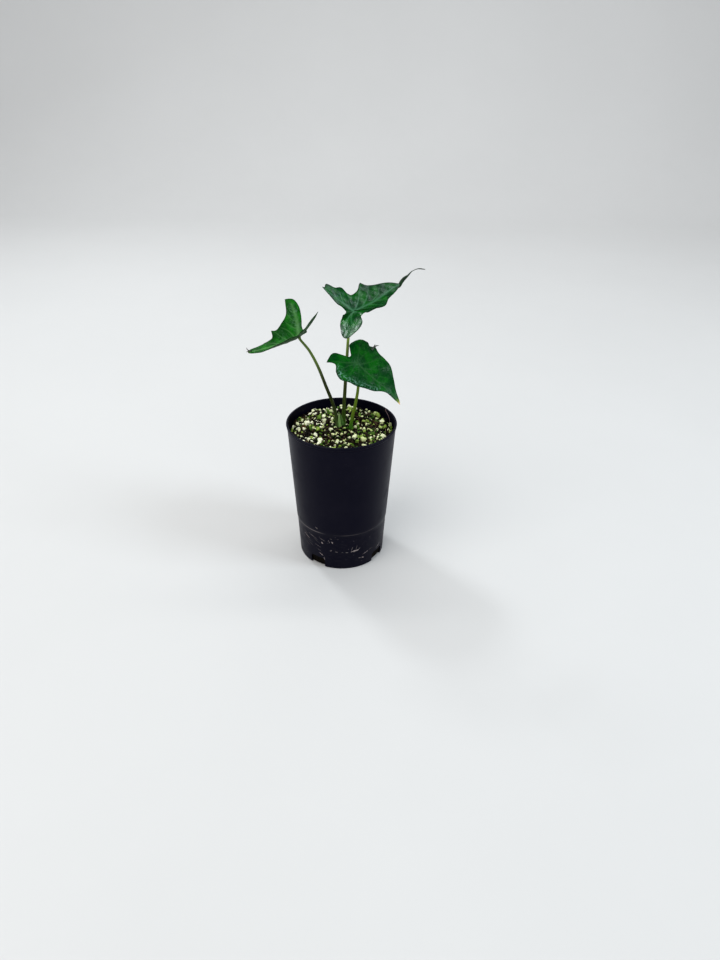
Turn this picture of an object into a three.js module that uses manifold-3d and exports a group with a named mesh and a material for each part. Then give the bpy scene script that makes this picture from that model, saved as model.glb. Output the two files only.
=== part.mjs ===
// A young potted alocasia: three arrow-shaped leaves on slim stalks, growing from a corm in a
// small tapered nursery pot filled with a perlite potting mix.
// Millimetres, +Z up. The origin is the centre of the pot's underside, on the surface it stands on.
// +X is to the right of the plant's front and +Y points away from it.

import * as THREE from 'three';
import { mergeVertices } from 'three/addons/utils/BufferGeometryUtils.js';
import Module from 'manifold-3d';

const wasm = await Module();
wasm.setup();

// Driving dimensions of the pot

const POT_HEIGHT = 132;
const RIM_RADIUS = 48;
const FOOT_RADIUS = 39;
const WALL = 1.2;
const FLOOR = 1.5;
const LIP_HEIGHT = 3;
const LIP_PROUD = 0.6;
const STEP_LEVEL = 38.5;
const STEP_PROUD = 0.4;
const STEP_HEIGHT = 1;
const FOOT_CHAMFER = 0.8;
const POT_SIDES = 56;
const NOTCH_COUNT = 4;
const NOTCH_FIRST_ANGLE = -122.5;
const NOTCH_WIDTH = 15;
const NOTCH_HEIGHT = 10;
const NOTCH_DEPTH = 11;
const NOTCH_CORNER = 3;

// Driving dimensions of the potting mix

const CLEARANCE = 0.3;
const MIX_LEVEL = 124;
const MIX_SIDES = 40;
const MIX_RINGS = 7;
const MIX_BUMP = 1.1;
const SWELL_SHARE = 0.6;
const GRAIN_COUNT = 84;
const GRAIN_SIZES = [2.3, 3.5];
const GRAIN_WIDTHS = [0.7, 1];
const GRAIN_HEIGHTS = [0.65, 0.85];
const GRAIN_SHIFTS = [-0.5, 0.5];
const GRAIN_TILTS = [-0.3, 0.3];
const GRAIN_RISE = 0.15;
const GOLDEN_ANGLE = Math.PI * (3 - Math.sqrt(5));

// Driving dimensions of the rootstock

const CORM_TOP = 116;
const CORM_TOP_RADIUS = 9.5;
const CORM_RADIUS = 12;
const CORM_DEPTH = 22;
const CORM_CENTRE = [2, 4];
const CORM_SIDES = 20;
const CORM_WAIST = 0.45;
const ROOT_RADIUS = 1.3;
const ROOT_TIP_RADIUS = 0.7;
const ROOT_SIDES = 6;
const ROOT_STEPS = 10;

// Driving dimensions of the leaves

const BLADE_THICKNESS = 0.75;
const BLADE_RINGS = 6;
const FOLD_ROUNDING = 2.5;
const RAMP_ROUNDING = 3;
const LOBE_SLANT = 0.32;
const LOBE_ANGLE = 60;
const DROOP_SPREAD = 60;
const MARGIN_STEP = 3.6;
const RIPPLES = 9;
const TENDRIL_RADIUS = 0.9;
const TENDRIL_TIP_RADIUS = 0.35;
const TENDRIL_SIDES = 6;
const TENDRIL_STEPS = 16;
const STALK_NECK = 2.4;
const SHEATH_SHARE = 0.25;
const SHEATH_SLIMMING = 0.85;
const STALK_SIDES = 10;
const STALK_STEPS = 24;

const DEGREE = Math.PI / 180;
const CENTIMETRE = 10;
const MERGE_TOLERANCE = 1e-4;

const plastic = new THREE.MeshStandardMaterial({ color: 0x17171c, roughness: 0.42, metalness: 0 });
const peat = new THREE.MeshStandardMaterial({ color: 0x4a4232, roughness: 0.95, metalness: 0 });
const corky = new THREE.MeshStandardMaterial({ color: 0x8a6a48, roughness: 0.8, metalness: 0 });
const darkLeaf = new THREE.MeshStandardMaterial({ color: 0x0f4726, roughness: 0.35, metalness: 0 });
const oliveStalk = new THREE.MeshStandardMaterial({ color: 0x4d5226, roughness: 0.5, metalness: 0 });
const greenStalk = new THREE.MeshStandardMaterial({ color: 0x5f8a2c, roughness: 0.5, metalness: 0 });

// Solids and meshes

/** Turns a closed geometry into a solid that can be joined and cut. */
function solidOf(geometry) {
  const bare = geometry.clone();
  bare.deleteAttribute('normal');
  bare.deleteAttribute('uv');
  const merged = mergeVertices(bare, MERGE_TOLERANCE);
  const corners = merged.index.array;
  const kept = [];
  for (let i = 0; i < corners.length; i += 3) {
    const [a, b, c] = corners.slice(i, i + 3);
    if (a !== b && b !== c && c !== a) {
      kept.push(a, b, c);
    }
  }
  return new wasm.Manifold(new wasm.Mesh({
    numProp: 3,
    vertProperties: merged.attributes.position.array,
    triVerts: Uint32Array.from(kept),
  }));
}

/** Gives a solid back as a geometry with flat facets. */
function geometryOf(solid) {
  const mesh = solid.getMesh();
  const geometry = new THREE.BufferGeometry();
  geometry.setAttribute('position', new THREE.BufferAttribute(mesh.vertProperties, 3));
  geometry.setIndex(new THREE.BufferAttribute(mesh.triVerts, 1));
  geometry.computeVertexNormals();
  return geometry;
}

/** A named piece made from a solid. */
function piece(name, solid, material) {
  const mesh = new THREE.Mesh(geometryOf(solid), material);
  mesh.name = name;
  return mesh;
}

/** A repeatable number from 0 to 1 for a grain's or bump's index and a salt. */
function draw(index, salt) {
  const wave = Math.sin(index * 12.9898 + salt * 78.233) * 43758.5453;
  return wave - Math.floor(wave);
}

/** A repeatable number within a range. */
function drawWithin([low, high], index, salt) {
  return low + (high - low) * draw(index, salt);
}

/** Rises smoothly from 0 to 1 as x goes from 0 to 1. */
function smoothStep(x) {
  const t = Math.min(Math.max(x, 0), 1);
  return t * t * (3 - 2 * t);
}

/** Turns a profile of [radius, height] points, from the axis round to the axis, about +Z. */
function turned(profile, sides) {
  const points = profile.map(([radius, height]) => new THREE.Vector2(radius, height));
  return new THREE.LatheGeometry(points, sides).rotateX(Math.PI / 2);
}

/** A closed geometry from rows of rings of points, with a single point at each end. */
function closedRings(start, rings, end) {
  const count = rings[0].length;
  const points = [start, ...rings.flat(), end];
  const last = points.length - 1;
  const corners = [];
  for (let i = 0; i < count; i++) {
    const next = (i + 1) % count;
    corners.push(0, 1 + next, 1 + i);
    corners.push(last, last - count + i, last - count + next);
    for (let row = 0; row < rings.length - 1; row++) {
      const low = 1 + row * count;
      const high = low + count;
      corners.push(low + i, low + next, high + next);
      corners.push(low + i, high + next, high + i);
    }
  }
  const geometry = new THREE.BufferGeometry().setFromPoints(points);
  geometry.setIndex(corners);
  return geometry;
}

/** A round bar along a curve, with its radius given by a function of the way along from 0 to 1. */
function taperedBar(curve, radiusAt, sides, steps) {
  const frames = curve.computeFrenetFrames(steps, false);
  const rings = [];
  for (let row = 0; row <= steps; row++) {
    const way = row / steps;
    const centre = curve.getPointAt(way);
    const radius = radiusAt(way);
    const ring = [];
    for (let i = 0; i < sides; i++) {
      const angle = (i / sides) * 2 * Math.PI;
      ring.push(centre.clone()
        .addScaledVector(frames.normals[row], radius * Math.cos(angle))
        .addScaledVector(frames.binormals[row], radius * Math.sin(angle)));
    }
    rings.push(ring);
  }
  return solidOf(closedRings(curve.getPointAt(0), rings, curve.getPointAt(1)));
}

/** A smooth curve through hand-placed points. */
function route(points) {
  return new THREE.CatmullRomCurve3(points.map((point) => new THREE.Vector3(...point)), false, 'centripetal');
}

// The pot

/** Radius of the pot's outside at a height, without its lip and step. */
function potRadius(height) {
  return FOOT_RADIUS + ((RIM_RADIUS - LIP_PROUD - FOOT_RADIUS) * height) / POT_HEIGHT;
}

/** Radius of the pot's inside at a height. */
function innerRadius(height) {
  return potRadius(height) - WALL;
}

/** One drain notch's cutter: an upright slot with a rounded top, from inside the foot outwards. */
function notchCutter() {
  const half = NOTCH_WIDTH / 2;
  const outline = new THREE.Shape();
  outline.moveTo(-half, -1);
  outline.lineTo(half, -1);
  outline.lineTo(half, NOTCH_HEIGHT - NOTCH_CORNER);
  outline.absarc(half - NOTCH_CORNER, NOTCH_HEIGHT - NOTCH_CORNER, NOTCH_CORNER, 0, Math.PI / 2);
  outline.lineTo(NOTCH_CORNER - half, NOTCH_HEIGHT);
  outline.absarc(NOTCH_CORNER - half, NOTCH_HEIGHT - NOTCH_CORNER, NOTCH_CORNER, Math.PI / 2, Math.PI);
  outline.closePath();
  const settings = { depth: 2 * NOTCH_DEPTH, bevelEnabled: false, curveSegments: 4 };
  const slot = new THREE.ExtrudeGeometry(outline, settings);
  slot.rotateX(Math.PI / 2);
  slot.rotateZ(Math.PI / 2);
  slot.translate(FOOT_RADIUS - NOTCH_DEPTH, 0, 0);
  return slot;
}

/** The pot: a tapered thin-walled tub with a lip, a faint step and four notches through its foot. */
function makePot() {
  const lipFoot = POT_HEIGHT - LIP_HEIGHT;
  const profile = [
    [0, 0],
    [FOOT_RADIUS - FOOT_CHAMFER, 0],
    [potRadius(FOOT_CHAMFER), FOOT_CHAMFER],
    [potRadius(STEP_LEVEL) - STEP_PROUD, STEP_LEVEL],
    [potRadius(STEP_LEVEL + STEP_HEIGHT), STEP_LEVEL + STEP_HEIGHT],
    [potRadius(lipFoot), lipFoot],
    [potRadius(lipFoot) + LIP_PROUD, lipFoot + LIP_PROUD],
    [RIM_RADIUS, POT_HEIGHT - LIP_PROUD],
    [RIM_RADIUS - LIP_PROUD, POT_HEIGHT],
    [innerRadius(POT_HEIGHT), POT_HEIGHT],
    [innerRadius(FLOOR), FLOOR],
    [0, FLOOR],
  ];
  let pot = solidOf(turned(profile, POT_SIDES));
  for (let i = 0; i < NOTCH_COUNT; i++) {
    const angle = (NOTCH_FIRST_ANGLE + (360 * i) / NOTCH_COUNT) * DEGREE;
    pot = pot.subtract(solidOf(notchCutter().rotateZ(angle)));
  }
  return piece('pot', pot, plastic);
}

// The stalks: hand-placed points from the top of the corm upwards. Each ends square under its blade.

const STALKS = {
  stalk_tall: {
    blade: 'blade_tall',
    material: oliveStalk,
    route: [
      [1.2, 5.6, CORM_TOP + CLEARANCE],
      [1.3, 5.6, 121],
      [1.8, 5, 139],
      [2.9, 4.4, 162],
      [4.5, 3.8, 191],
      [6.2, 3.8, 213],
    ],
    bottomRadius: 2.1,
    topRadius: 0.95,
  },
  stalk_left: {
    blade: 'blade_left',
    material: oliveStalk,
    route: [
      [-3.2, 5.8, CORM_TOP + CLEARANCE],
      [-3.2, 5.8, 121],
      [-6.4, 4.7, 142.5],
      [-13.4, 3.2, 164],
      [-20.2, 1.8, 183.5],
      [-26.8, 1, 197],
    ],
    bottomRadius: 2.0,
    topRadius: 1.0,
  },
  stalk_front: {
    blade: 'blade_front',
    material: greenStalk,
    route: [
      [7.2, 3.2, CORM_TOP + CLEARANCE],
      [7.4, 3.2, 121],
      [9.2, 0.4, 136],
      [12.0, -2.8, 151],
      [14, -6, 167],
      [13.8, -8.6, 179],
    ],
    bottomRadius: 1.9,
    topRadius: 0.95,
  },
};

// The rootstock

const ROOTS = [
  [[4, -6, 105], [14, -14, 92], [22, -17, 66], [19, -24, 40], [24, -18, 14]],
  [[-5, -1, 104], [-19, -7, 90], [-27, -2, 62], [-24, 10, 36], [-28, 6, 12]],
  [[-2, 9, 104], [-8, 21, 84], [2, 29, 60], [10, 26, 34], [4, 30, 10]],
  [[9, 5, 104], [20, 12, 90], [28, 9, 70], [25, 2, 46], [30, -2, 22]],
];

// The corm's outline below its top: [share of its depth, share of its radius]

const CORM_OUTLINE = [[0.93, 0.55], [0.7, 0.92], [CORM_WAIST, 1], [0.15, 0.95]];

/** The corm with its roots, grown by a margin where it is the cutter of its own hollow. */
function rootstockSolid(margin) {
  const profile = [
    [0, CORM_TOP - CORM_DEPTH - margin],
    ...CORM_OUTLINE.map(([depth, share]) => [
      CORM_RADIUS * share + margin,
      CORM_TOP - CORM_DEPTH * depth - (depth > CORM_WAIST ? margin : 0),
    ]),
    [CORM_TOP_RADIUS + margin, CORM_TOP + margin],
    [0, CORM_TOP + margin],
  ];
  let body = solidOf(turned(profile, CORM_SIDES).translate(...CORM_CENTRE, 0));
  for (const points of ROOTS) {
    const radiusAt = (way) => ROOT_RADIUS + (ROOT_TIP_RADIUS - ROOT_RADIUS) * way + margin;
    body = body.add(taperedBar(route(points), radiusAt, ROOT_SIDES, ROOT_STEPS));
  }
  return body;
}

// The potting mix

/** Height of the mix's top at a place, without its grains: a slow swell and a finer roughness. */
function mixTop(x, y) {
  const swell = Math.sin(x * 0.21 + 1.3) * Math.cos(y * 0.18 - 0.4);
  const rough = Math.sin(x * 0.83 - y * 0.37) * Math.sin(y * 0.71 + x * 0.29 + 2);
  return MIX_LEVEL + MIX_BUMP * (SWELL_SHARE * swell + (1 - SWELL_SHARE) * rough);
}

/** The mix without grains: it fills the pot and its top is rough. */
function mixBody() {
  const ringAt = (radius, heightAt) => {
    const ring = [];
    for (let i = 0; i < MIX_SIDES; i++) {
      const angle = (i / MIX_SIDES) * 2 * Math.PI;
      const x = radius * Math.cos(angle);
      const y = radius * Math.sin(angle);
      ring.push(new THREE.Vector3(x, y, heightAt(x, y)));
    }
    return ring;
  };
  const bottom = FLOOR + CLEARANCE;
  const topRadius = innerRadius(MIX_LEVEL - MIX_BUMP) - CLEARANCE;
  const rings = [ringAt(innerRadius(bottom) - CLEARANCE, () => bottom)];
  for (let row = MIX_RINGS; row > 0; row--) {
    rings.push(ringAt((topRadius * row) / MIX_RINGS, mixTop));
  }
  return solidOf(closedRings(new THREE.Vector3(0, 0, bottom), rings, new THREE.Vector3(0, 0, mixTop(0, 0))));
}

/** One perlite grain: a lump with a few flat sides, sunk into the top of the mix. */
function grain(index) {
  const reach = innerRadius(MIX_LEVEL) - CLEARANCE - GRAIN_SIZES[1];
  const radius = reach * Math.sqrt((index + 0.5) / GRAIN_COUNT);
  const angle = index * GOLDEN_ANGLE;
  const x = radius * Math.cos(angle) + drawWithin(GRAIN_SHIFTS, index, 1);
  const y = radius * Math.sin(angle) + drawWithin(GRAIN_SHIFTS, index, 2);
  const size = drawWithin(GRAIN_SIZES, index, 3);
  const lump = new THREE.IcosahedronGeometry(size, 0);
  lump.scale(1, drawWithin(GRAIN_WIDTHS, index, 4), drawWithin(GRAIN_HEIGHTS, index, 5));
  lump.rotateX(drawWithin(GRAIN_TILTS, index, 6));
  lump.rotateZ(2 * Math.PI * draw(index, 7));
  lump.translate(x, y, mixTop(x, y) + size * GRAIN_RISE);
  return solidOf(lump);
}

/** The mix with its grains, hollowed for the rootstock and holed for the stalks. */
function makeMix() {
  let mix = mixBody();
  for (let i = 0; i < GRAIN_COUNT; i++) {
    mix = mix.add(grain(i));
  }
  for (const stalk of Object.values(STALKS)) {
    mix = mix.subtract(stalkSolid(stalk, CLEARANCE));
  }
  mix = mix.subtract(rootstockSolid(CLEARANCE));
  const bodies = mix.decompose();
  bodies.sort((a, b) => b.volume() - a.volume());
  return piece('potting_mix', bodies[0], peat);
}

// The blades

// Each margin is a list of stretches that run from one sharp corner to the next. It starts at the
// tip, goes round the left side of the blade as seen from its stalk, through the notch over the
// stalk, and back along the right side. Points are [along, across], in the flat leaf.

const BLADES = {
  blade_tall: {
    hub: [10, 2, 230.2],
    heading: 35,
    pitch: 10,
    roll: 26,
    fold: { left: 0.67, right: 0.67 },
    lobeRise: { left: 0, right: -0.28 },
    lobeDroop: { left: 0, right: 0.3 },
    arch: 0,
    ripple: 0.4,
    margin: [
      [[50, 5], [43, 8], [36, 10], [28, 11.3], [20.4, 13.2], [15.4, 16]],
      [[15.4, 16], [10.6, 12], [5, 11], [1, 13], [-1.5, 17.5], [-6, 19.2], [-11, 22.8], [-17, 22.7]],
      [[-17, 22.7], [-14, 16], [-11, 9.5], [-8, 6.2], [-6.2, 2.6], [-8, 0.6], [-12.2, -0.4],
        [-15.4, -3.7], [-18.4, -8.3], [-22.2, -14.9], [-23.6, -20.3], [-21.8, -22.8], [-17, -22.6],
        [-10, -21.2], [-5, -17.2], [-1.5, -11], [1, -9], [9, -8.8], [15.5, -8]],
      [[15.5, -8], [17.5, -10.6], [22, -10.8], [27, -7.2], [32, -3], [38, -0.4], [45, 2.2], [50, 5]],
    ],
  },
  blade_left: {
    hub: [-34.4, 0, 209.2],
    heading: 207,
    pitch: -14,
    roll: 0,
    fold: { left: 0.78, right: 0.65 },
    lobeRise: { left: 0.57, right: 0.1 },
    lobeDroop: { left: 0, right: 0 },
    arch: -0.24,
    ripple: 0.35,
    margin: [
      [[44, 0], [41.5, 2.6], [38, 4], [32, 5.6], [26, 7], [20, 8.8]],
      [[20, 8.8], [15, 11.1], [9, 11.6], [3, 11.4], [-3, 11], [-9, 11.6], [-16.7, 13.2]],
      [[-16.7, 13.2], [-14, 7.5], [-9.5, 2.5], [-6.2, -2], [-6.2, -6], [-9, -11], [-11.5, -16],
        [-13.3, -22], [-12, -28], [-6, -31.2]],
      [[-6, -31.2], [-4, -27], [-1, -21.5], [4, -17.2], [10, -14], [14, -12.2], [17.6, -12.8]],
      [[17.6, -12.8], [19.5, -7.6], [24, -6.2], [29, -5.6], [35, -4], [40, -2.4], [44, 0]],
    ],
  },
  blade_front: {
    hub: [12.9, -12, 191.8],
    heading: -26,
    pitch: -35,
    roll: 20,
    fold: { left: 0, right: 0 },
    lobeRise: { left: 0, right: 0 },
    lobeDroop: { left: 0.15, right: 0.15 },
    arch: 0.15,
    ripple: 0.5,
    margin: [
      [[48.5, 1.8], [45, 4.2], [38, 8], [29, 15.8], [21, 21], [12, 22.6], [5, 23], [1, 24.4]],
      [[1, 24.4], [-3, 21.5], [-7, 24], [-12, 21.5], [-15, 14], [-15, 8.5], [-11.5, 5], [-7.5, 0.3],
        [-12, -3.4], [-17.5, -7], [-19, -11.5], [-17, -19]],
      [[-17, -19], [-13.5, -15.8], [-10, -14.8], [-6, -19.5], [1, -21], [8, -17.6], [16, -13.5], [24, -8],
        [31, -1.8], [36, 1.2], [42, 1.6], [48.5, 1.8]],
    ],
  },
};

// The thread-like tip that the tall leaf's apex is drawn out into

const TENDRIL_ROUTE = [
  [44, 30.8, 242.2],
  [47.7, 32.6, 242.9],
  [51, 33.2, 246.4],
  [54.4, 33.8, 249.8],
  [57.6, 34.4, 253.4],
  [61.6, 35, 255],
  [67.6, 36, 254.4],
];

/** Splits a margin's stretches evenly and gives its flat points, each corner once. */
function marginPoints(stretches) {
  return stretches.flatMap((stretch) => {
    const curve = new THREE.SplineCurve(stretch.map(([along, across]) => new THREE.Vector2(along, across)));
    return curve.getSpacedPoints(Math.round(curve.getLength() / MARGIN_STEP)).slice(0, -1);
  });
}

/** Follows x where x is well above 0 and levels out below it, passing through 0 at 0. */
function softRamp(x) {
  return (x + Math.hypot(x, RAMP_ROUNDING) - RAMP_ROUNDING) / 2;
}

/** How far the leaf rises above its flat plane at a flat point. */
function bladeLift(blade, along, across) {
  const side = across > 0 ? 'left' : 'right';
  const reach = Math.hypot(along, across) / CENTIMETRE;
  const angle = Math.atan2(Math.abs(across), along) / DEGREE;
  const fold = blade.fold[side] * (Math.hypot(across, FOLD_ROUNDING) - FOLD_ROUNDING);
  const rise = blade.lobeRise[side] * softRamp(LOBE_SLANT * Math.abs(across) - along);
  const droop = blade.lobeDroop[side] * smoothStep((angle - LOBE_ANGLE) / DROOP_SPREAD) * reach ** 2;
  const arch = blade.arch * (Math.max(along, 0) / CENTIMETRE) ** 2;
  return fold + rise - droop - arch;
}

/** The leaf's own axes: along the midrib, across to the left, and out of the upper face. */
function bladeAxes(blade) {
  const level = new THREE.Matrix4().makeRotationZ(blade.heading * DEGREE);
  const tilt = new THREE.Matrix4().makeRotationY(-blade.pitch * DEGREE);
  const lean = new THREE.Matrix4().makeRotationX(blade.roll * DEGREE);
  const along = new THREE.Vector3();
  const across = new THREE.Vector3();
  const out = new THREE.Vector3();
  level.multiply(tilt).multiply(lean).extractBasis(along, across, out);
  return { along, across, out };
}

/** A point of the upper face, from a flat margin point and the way out to it from the hub. */
function bladePoint(blade, axes, edge, way) {
  const flat = edge.clone().multiplyScalar(way);
  const wave = blade.ripple * way ** 3 * Math.sin(RIPPLES * edge.angle());
  return new THREE.Vector3(...blade.hub)
    .addScaledVector(axes.along, flat.x)
    .addScaledVector(axes.across, flat.y)
    .addScaledVector(axes.out, bladeLift(blade, flat.x, flat.y) + wave);
}

/** A blade: upper and lower faces split alike from the hub out to the margin, and a thin edge. */
function bladeSolid(blade) {
  const axes = bladeAxes(blade);
  const edge = marginPoints(blade.margin);
  const count = edge.length;
  const upper = [new THREE.Vector3(...blade.hub)];
  for (let ring = 1; ring <= BLADE_RINGS; ring++) {
    upper.push(...edge.map((point) => bladePoint(blade, axes, point, ring / BLADE_RINGS)));
  }
  const corners = [];
  for (let i = 0; i < count; i++) {
    const next = (i + 1) % count;
    corners.push(0, 1 + i, 1 + next);
    for (let ring = 0; ring < BLADE_RINGS - 1; ring++) {
      const near = 1 + ring * count;
      const far = near + count;
      corners.push(near + i, far + i, far + next);
      corners.push(near + i, far + next, near + next);
    }
  }
  const face = new THREE.BufferGeometry().setFromPoints(upper);
  face.setIndex(corners);
  face.computeVertexNormals();
  const lower = upper.map((point, index) => {
    const out = new THREE.Vector3().fromBufferAttribute(face.attributes.normal, index);
    return point.clone().addScaledVector(out, -BLADE_THICKNESS);
  });
  const total = upper.length;
  const all = [...corners];
  for (let i = 0; i < corners.length; i += 3) {
    all.push(total + corners[i], total + corners[i + 2], total + corners[i + 1]);
  }
  const rim = total - count;
  for (let i = 0; i < count; i++) {
    const next = (i + 1) % count;
    all.push(rim + i, total + rim + i, total + rim + next);
    all.push(rim + i, total + rim + next, rim + next);
  }
  const closed = new THREE.BufferGeometry().setFromPoints([...upper, ...lower]);
  closed.setIndex(all);
  return solidOf(closed);
}

/** A blade's piece. The tall leaf's apex is drawn out into its tendril. */
function makeBlade(name) {
  let solid = bladeSolid(BLADES[name]);
  if (name === 'blade_tall') {
    const radiusAt = (way) => TENDRIL_RADIUS + (TENDRIL_TIP_RADIUS - TENDRIL_RADIUS) * Math.sqrt(way);
    solid = solid.add(taperedBar(route(TENDRIL_ROUTE), radiusAt, TENDRIL_SIDES, TENDRIL_STEPS));
  }
  return piece(name, solid, darkLeaf);
}

// The stalks' solids

/** Radius along a stalk: a broad sheathing base that soon slims, then an even taper. */
function stalkRadius(stalk, way) {
  const slim = stalk.bottomRadius * SHEATH_SLIMMING;
  const base = (stalk.bottomRadius - slim) * (1 - smoothStep(way / SHEATH_SHARE));
  return base + slim + (stalk.topRadius - slim) * way;
}

/** A stalk's whole route, with its last stretch square to the blade and just clear of it. */
function stalkRoute(stalk) {
  const blade = BLADES[stalk.blade];
  const { out } = bladeAxes(blade);
  const under = (drop) => new THREE.Vector3(...blade.hub).addScaledVector(out, -drop).toArray();
  return route([...stalk.route, under(STALK_NECK), under(BLADE_THICKNESS + CLEARANCE)]);
}

/** A stalk's solid, thicker by a margin where it is the cutter of its own hole. */
function stalkSolid(stalk, margin) {
  return taperedBar(stalkRoute(stalk), (way) => stalkRadius(stalk, way) + margin, STALK_SIDES, STALK_STEPS);
}

/** A stalk's piece. */
function makeStalk(name) {
  return piece(name, stalkSolid(STALKS[name], 0), STALKS[name].material);
}

const plant = new THREE.Group();
plant.add(makePot());
plant.add(makeMix());
plant.add(piece('rootstock', rootstockSolid(0), corky));
for (const name of Object.keys(STALKS)) {
  plant.add(makeStalk(name));
}
for (const name of Object.keys(BLADES)) {
  plant.add(makeBlade(name));
}

export default plant;
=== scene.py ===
"""Looks for the potted alocasia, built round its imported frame.

Sizes and places are in millimetres in the part's own frame, with +Z up and the pot's underside at
zero. Meshes are turned into metres where they are made. Leaves are drawn flat, as [along, across]
from the hub where the stalk meets the blade, and then folded into place.
"""

import logging
from dataclasses import dataclass, field
from enum import Enum
from typing import Sequence

import bpy
import numpy as np
from mathutils import Matrix


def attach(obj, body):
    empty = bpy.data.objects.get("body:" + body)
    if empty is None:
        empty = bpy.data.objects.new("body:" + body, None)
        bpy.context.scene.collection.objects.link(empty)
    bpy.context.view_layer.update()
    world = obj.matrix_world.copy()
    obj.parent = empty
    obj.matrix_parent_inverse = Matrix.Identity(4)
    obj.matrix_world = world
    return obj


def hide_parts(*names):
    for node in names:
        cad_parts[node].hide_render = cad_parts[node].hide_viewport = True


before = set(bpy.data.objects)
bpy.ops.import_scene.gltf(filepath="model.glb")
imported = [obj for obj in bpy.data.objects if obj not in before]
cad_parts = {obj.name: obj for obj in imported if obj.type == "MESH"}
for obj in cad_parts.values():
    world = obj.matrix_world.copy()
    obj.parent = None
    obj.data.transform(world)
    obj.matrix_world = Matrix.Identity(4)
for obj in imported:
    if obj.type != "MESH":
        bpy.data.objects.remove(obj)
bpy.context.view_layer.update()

LOG = logging.getLogger("potted_alocasia")
MM = 0.001
ROOT = "root"

Socket = bpy.types.NodeSocket
Node = bpy.types.Node
Colour = tuple[float, float, float]
Point = tuple[float, float, float]
Flat = tuple[float, float]
Value = Socket | float | Colour
Faces = list[list[int]]


# ---- Curves and grids


def smooth_step(x: np.ndarray) -> np.ndarray:
    """Rises smoothly from 0 to 1 as x goes from 0 to 1: 3x² − 2x³, level outside."""
    t = np.clip(x, 0, 1)
    return t * t * (3 - 2 * t)


def unit(vectors: np.ndarray) -> np.ndarray:
    """Vectors divided by their lengths."""
    return vectors / np.maximum(np.linalg.norm(vectors, axis=-1, keepdims=True), 1e-12)


def smooth_route(points: Sequence[Sequence[float]], count: int, centripetal: bool) -> np.ndarray:
    """Evenly spaced points on a Catmull-Rom curve through given ones.

    Between two points the curve is a cubic Hermite whose tangents come from the four points
    around it. Knots are spaced by the square root of the distance when centripetal, or evenly.
    The result is read off at equal steps of arc length.

    Args:
        points: The given points, in two or three dimensions.
        count: How many steps the result has; it holds one point more.
        centripetal: Whether knots follow distances and the ends run on straight.

    Returns:
        An array of count + 1 points.
    """
    p = np.asarray(points, float)
    before = 2 * p[0] - p[1] if centripetal else p[0]
    after = 2 * p[-1] - p[-2] if centripetal else p[-1]
    full = np.vstack([before, p, after])
    gaps = np.linalg.norm(np.diff(full, axis=0), axis=1)
    knots = np.maximum(gaps, 1e-4) ** 0.5 if centripetal else np.ones(len(gaps))
    p0, p1, p2, p3 = full[:-3], full[1:-2], full[2:-1], full[3:]
    k0, k1, k2 = (k[:, None] for k in (knots[:-2], knots[1:-1], knots[2:]))
    start = ((p1 - p0) / k0 - (p2 - p0) / (k0 + k1) + (p2 - p1) / k1) * k1
    end = ((p2 - p1) / k1 - (p3 - p1) / (k1 + k2) + (p3 - p2) / k2) * k1
    t = np.linspace(0, 1, 65)[None, :, None]
    cubic = (
        (2 * t**3 - 3 * t**2 + 1) * p1[:, None]
        + (t**3 - 2 * t**2 + t) * start[:, None]
        + (3 * t**2 - 2 * t**3) * p2[:, None]
        + (t**3 - t**2) * end[:, None]
    )
    dense = np.vstack([cubic[:, :-1].reshape(-1, p.shape[1]), p[-1:]])
    way = np.concatenate([[0], np.cumsum(np.linalg.norm(np.diff(dense, axis=0), axis=1))])
    at = np.linspace(0, way[-1], count + 1)
    return np.stack([np.interp(at, way, dense[:, axis]) for axis in range(p.shape[1])], axis=-1)


def route_length(points: np.ndarray) -> float:
    """Length of a polyline."""
    return float(np.linalg.norm(np.diff(points, axis=0), axis=1).sum())


def distance_to_line(points: np.ndarray, line: np.ndarray) -> tuple[np.ndarray, np.ndarray]:
    """Distance from flat points to a polyline, and how far along it the nearest place is.

    For each point and each stretch the foot of the perpendicular, kept within the stretch, gives a
    distance; the smallest one counts.

    Args:
        points: The flat points, one row each.
        line: The polyline's points.

    Returns:
        Each point's distance, and its share of the way from 0 to 1.
    """
    start, span = line[:-1], np.diff(line, axis=0)
    along = np.einsum("psk,sk->ps", points[:, None] - start, span) / (span**2).sum(1)
    along = np.clip(along, 0, 1)
    foot = start + along[..., None] * span
    gaps = np.linalg.norm(points[:, None] - foot, axis=-1)
    nearest = gaps.argmin(axis=1)
    row = np.arange(len(points))
    return gaps[row, nearest], (nearest + along[row, nearest]) / len(span)


def closed_faces(rows: int, columns: int) -> Faces:
    """Faces of a grid that wraps round in its columns, closed by a fan to one point at each end.

    The two end points come after the grid's own. Columns run counterclockwise seen from outside
    with the rows going up.

    Args:
        rows: Number of rows.
        columns: Number of points in each.

    Returns:
        The faces: squares, then the two fans.
    """
    index = np.arange(rows * columns).reshape(rows, columns)
    beside = np.roll(index, -1, axis=1)
    quads = np.stack([index[:-1], beside[:-1], beside[1:], index[1:]], axis=-1).reshape(-1, 4)
    low, high = rows * columns, rows * columns + 1
    foot = np.stack([np.full(columns, low), beside[0], index[0]], axis=-1)
    head = np.stack([np.full(columns, high), index[-1], beside[-1]], axis=-1)
    return quads.tolist() + foot.tolist() + head.tolist()


def repeated_faces(faces: Faces, verts: int, count: int) -> Faces:
    """The faces of one shape repeated for many, each with its own run of vertices.

    Args:
        faces: The faces of the first one.
        verts: How many vertices each has.
        count: How many there are.

    Returns:
        All the faces.
    """
    out: Faces = []
    for size in sorted({len(face) for face in faces}):
        block = np.array([face for face in faces if len(face) == size])
        shifts = (np.arange(count) * verts)[:, None, None]
        out += (block[None] + shifts).reshape(-1, size).tolist()
    return out


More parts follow.
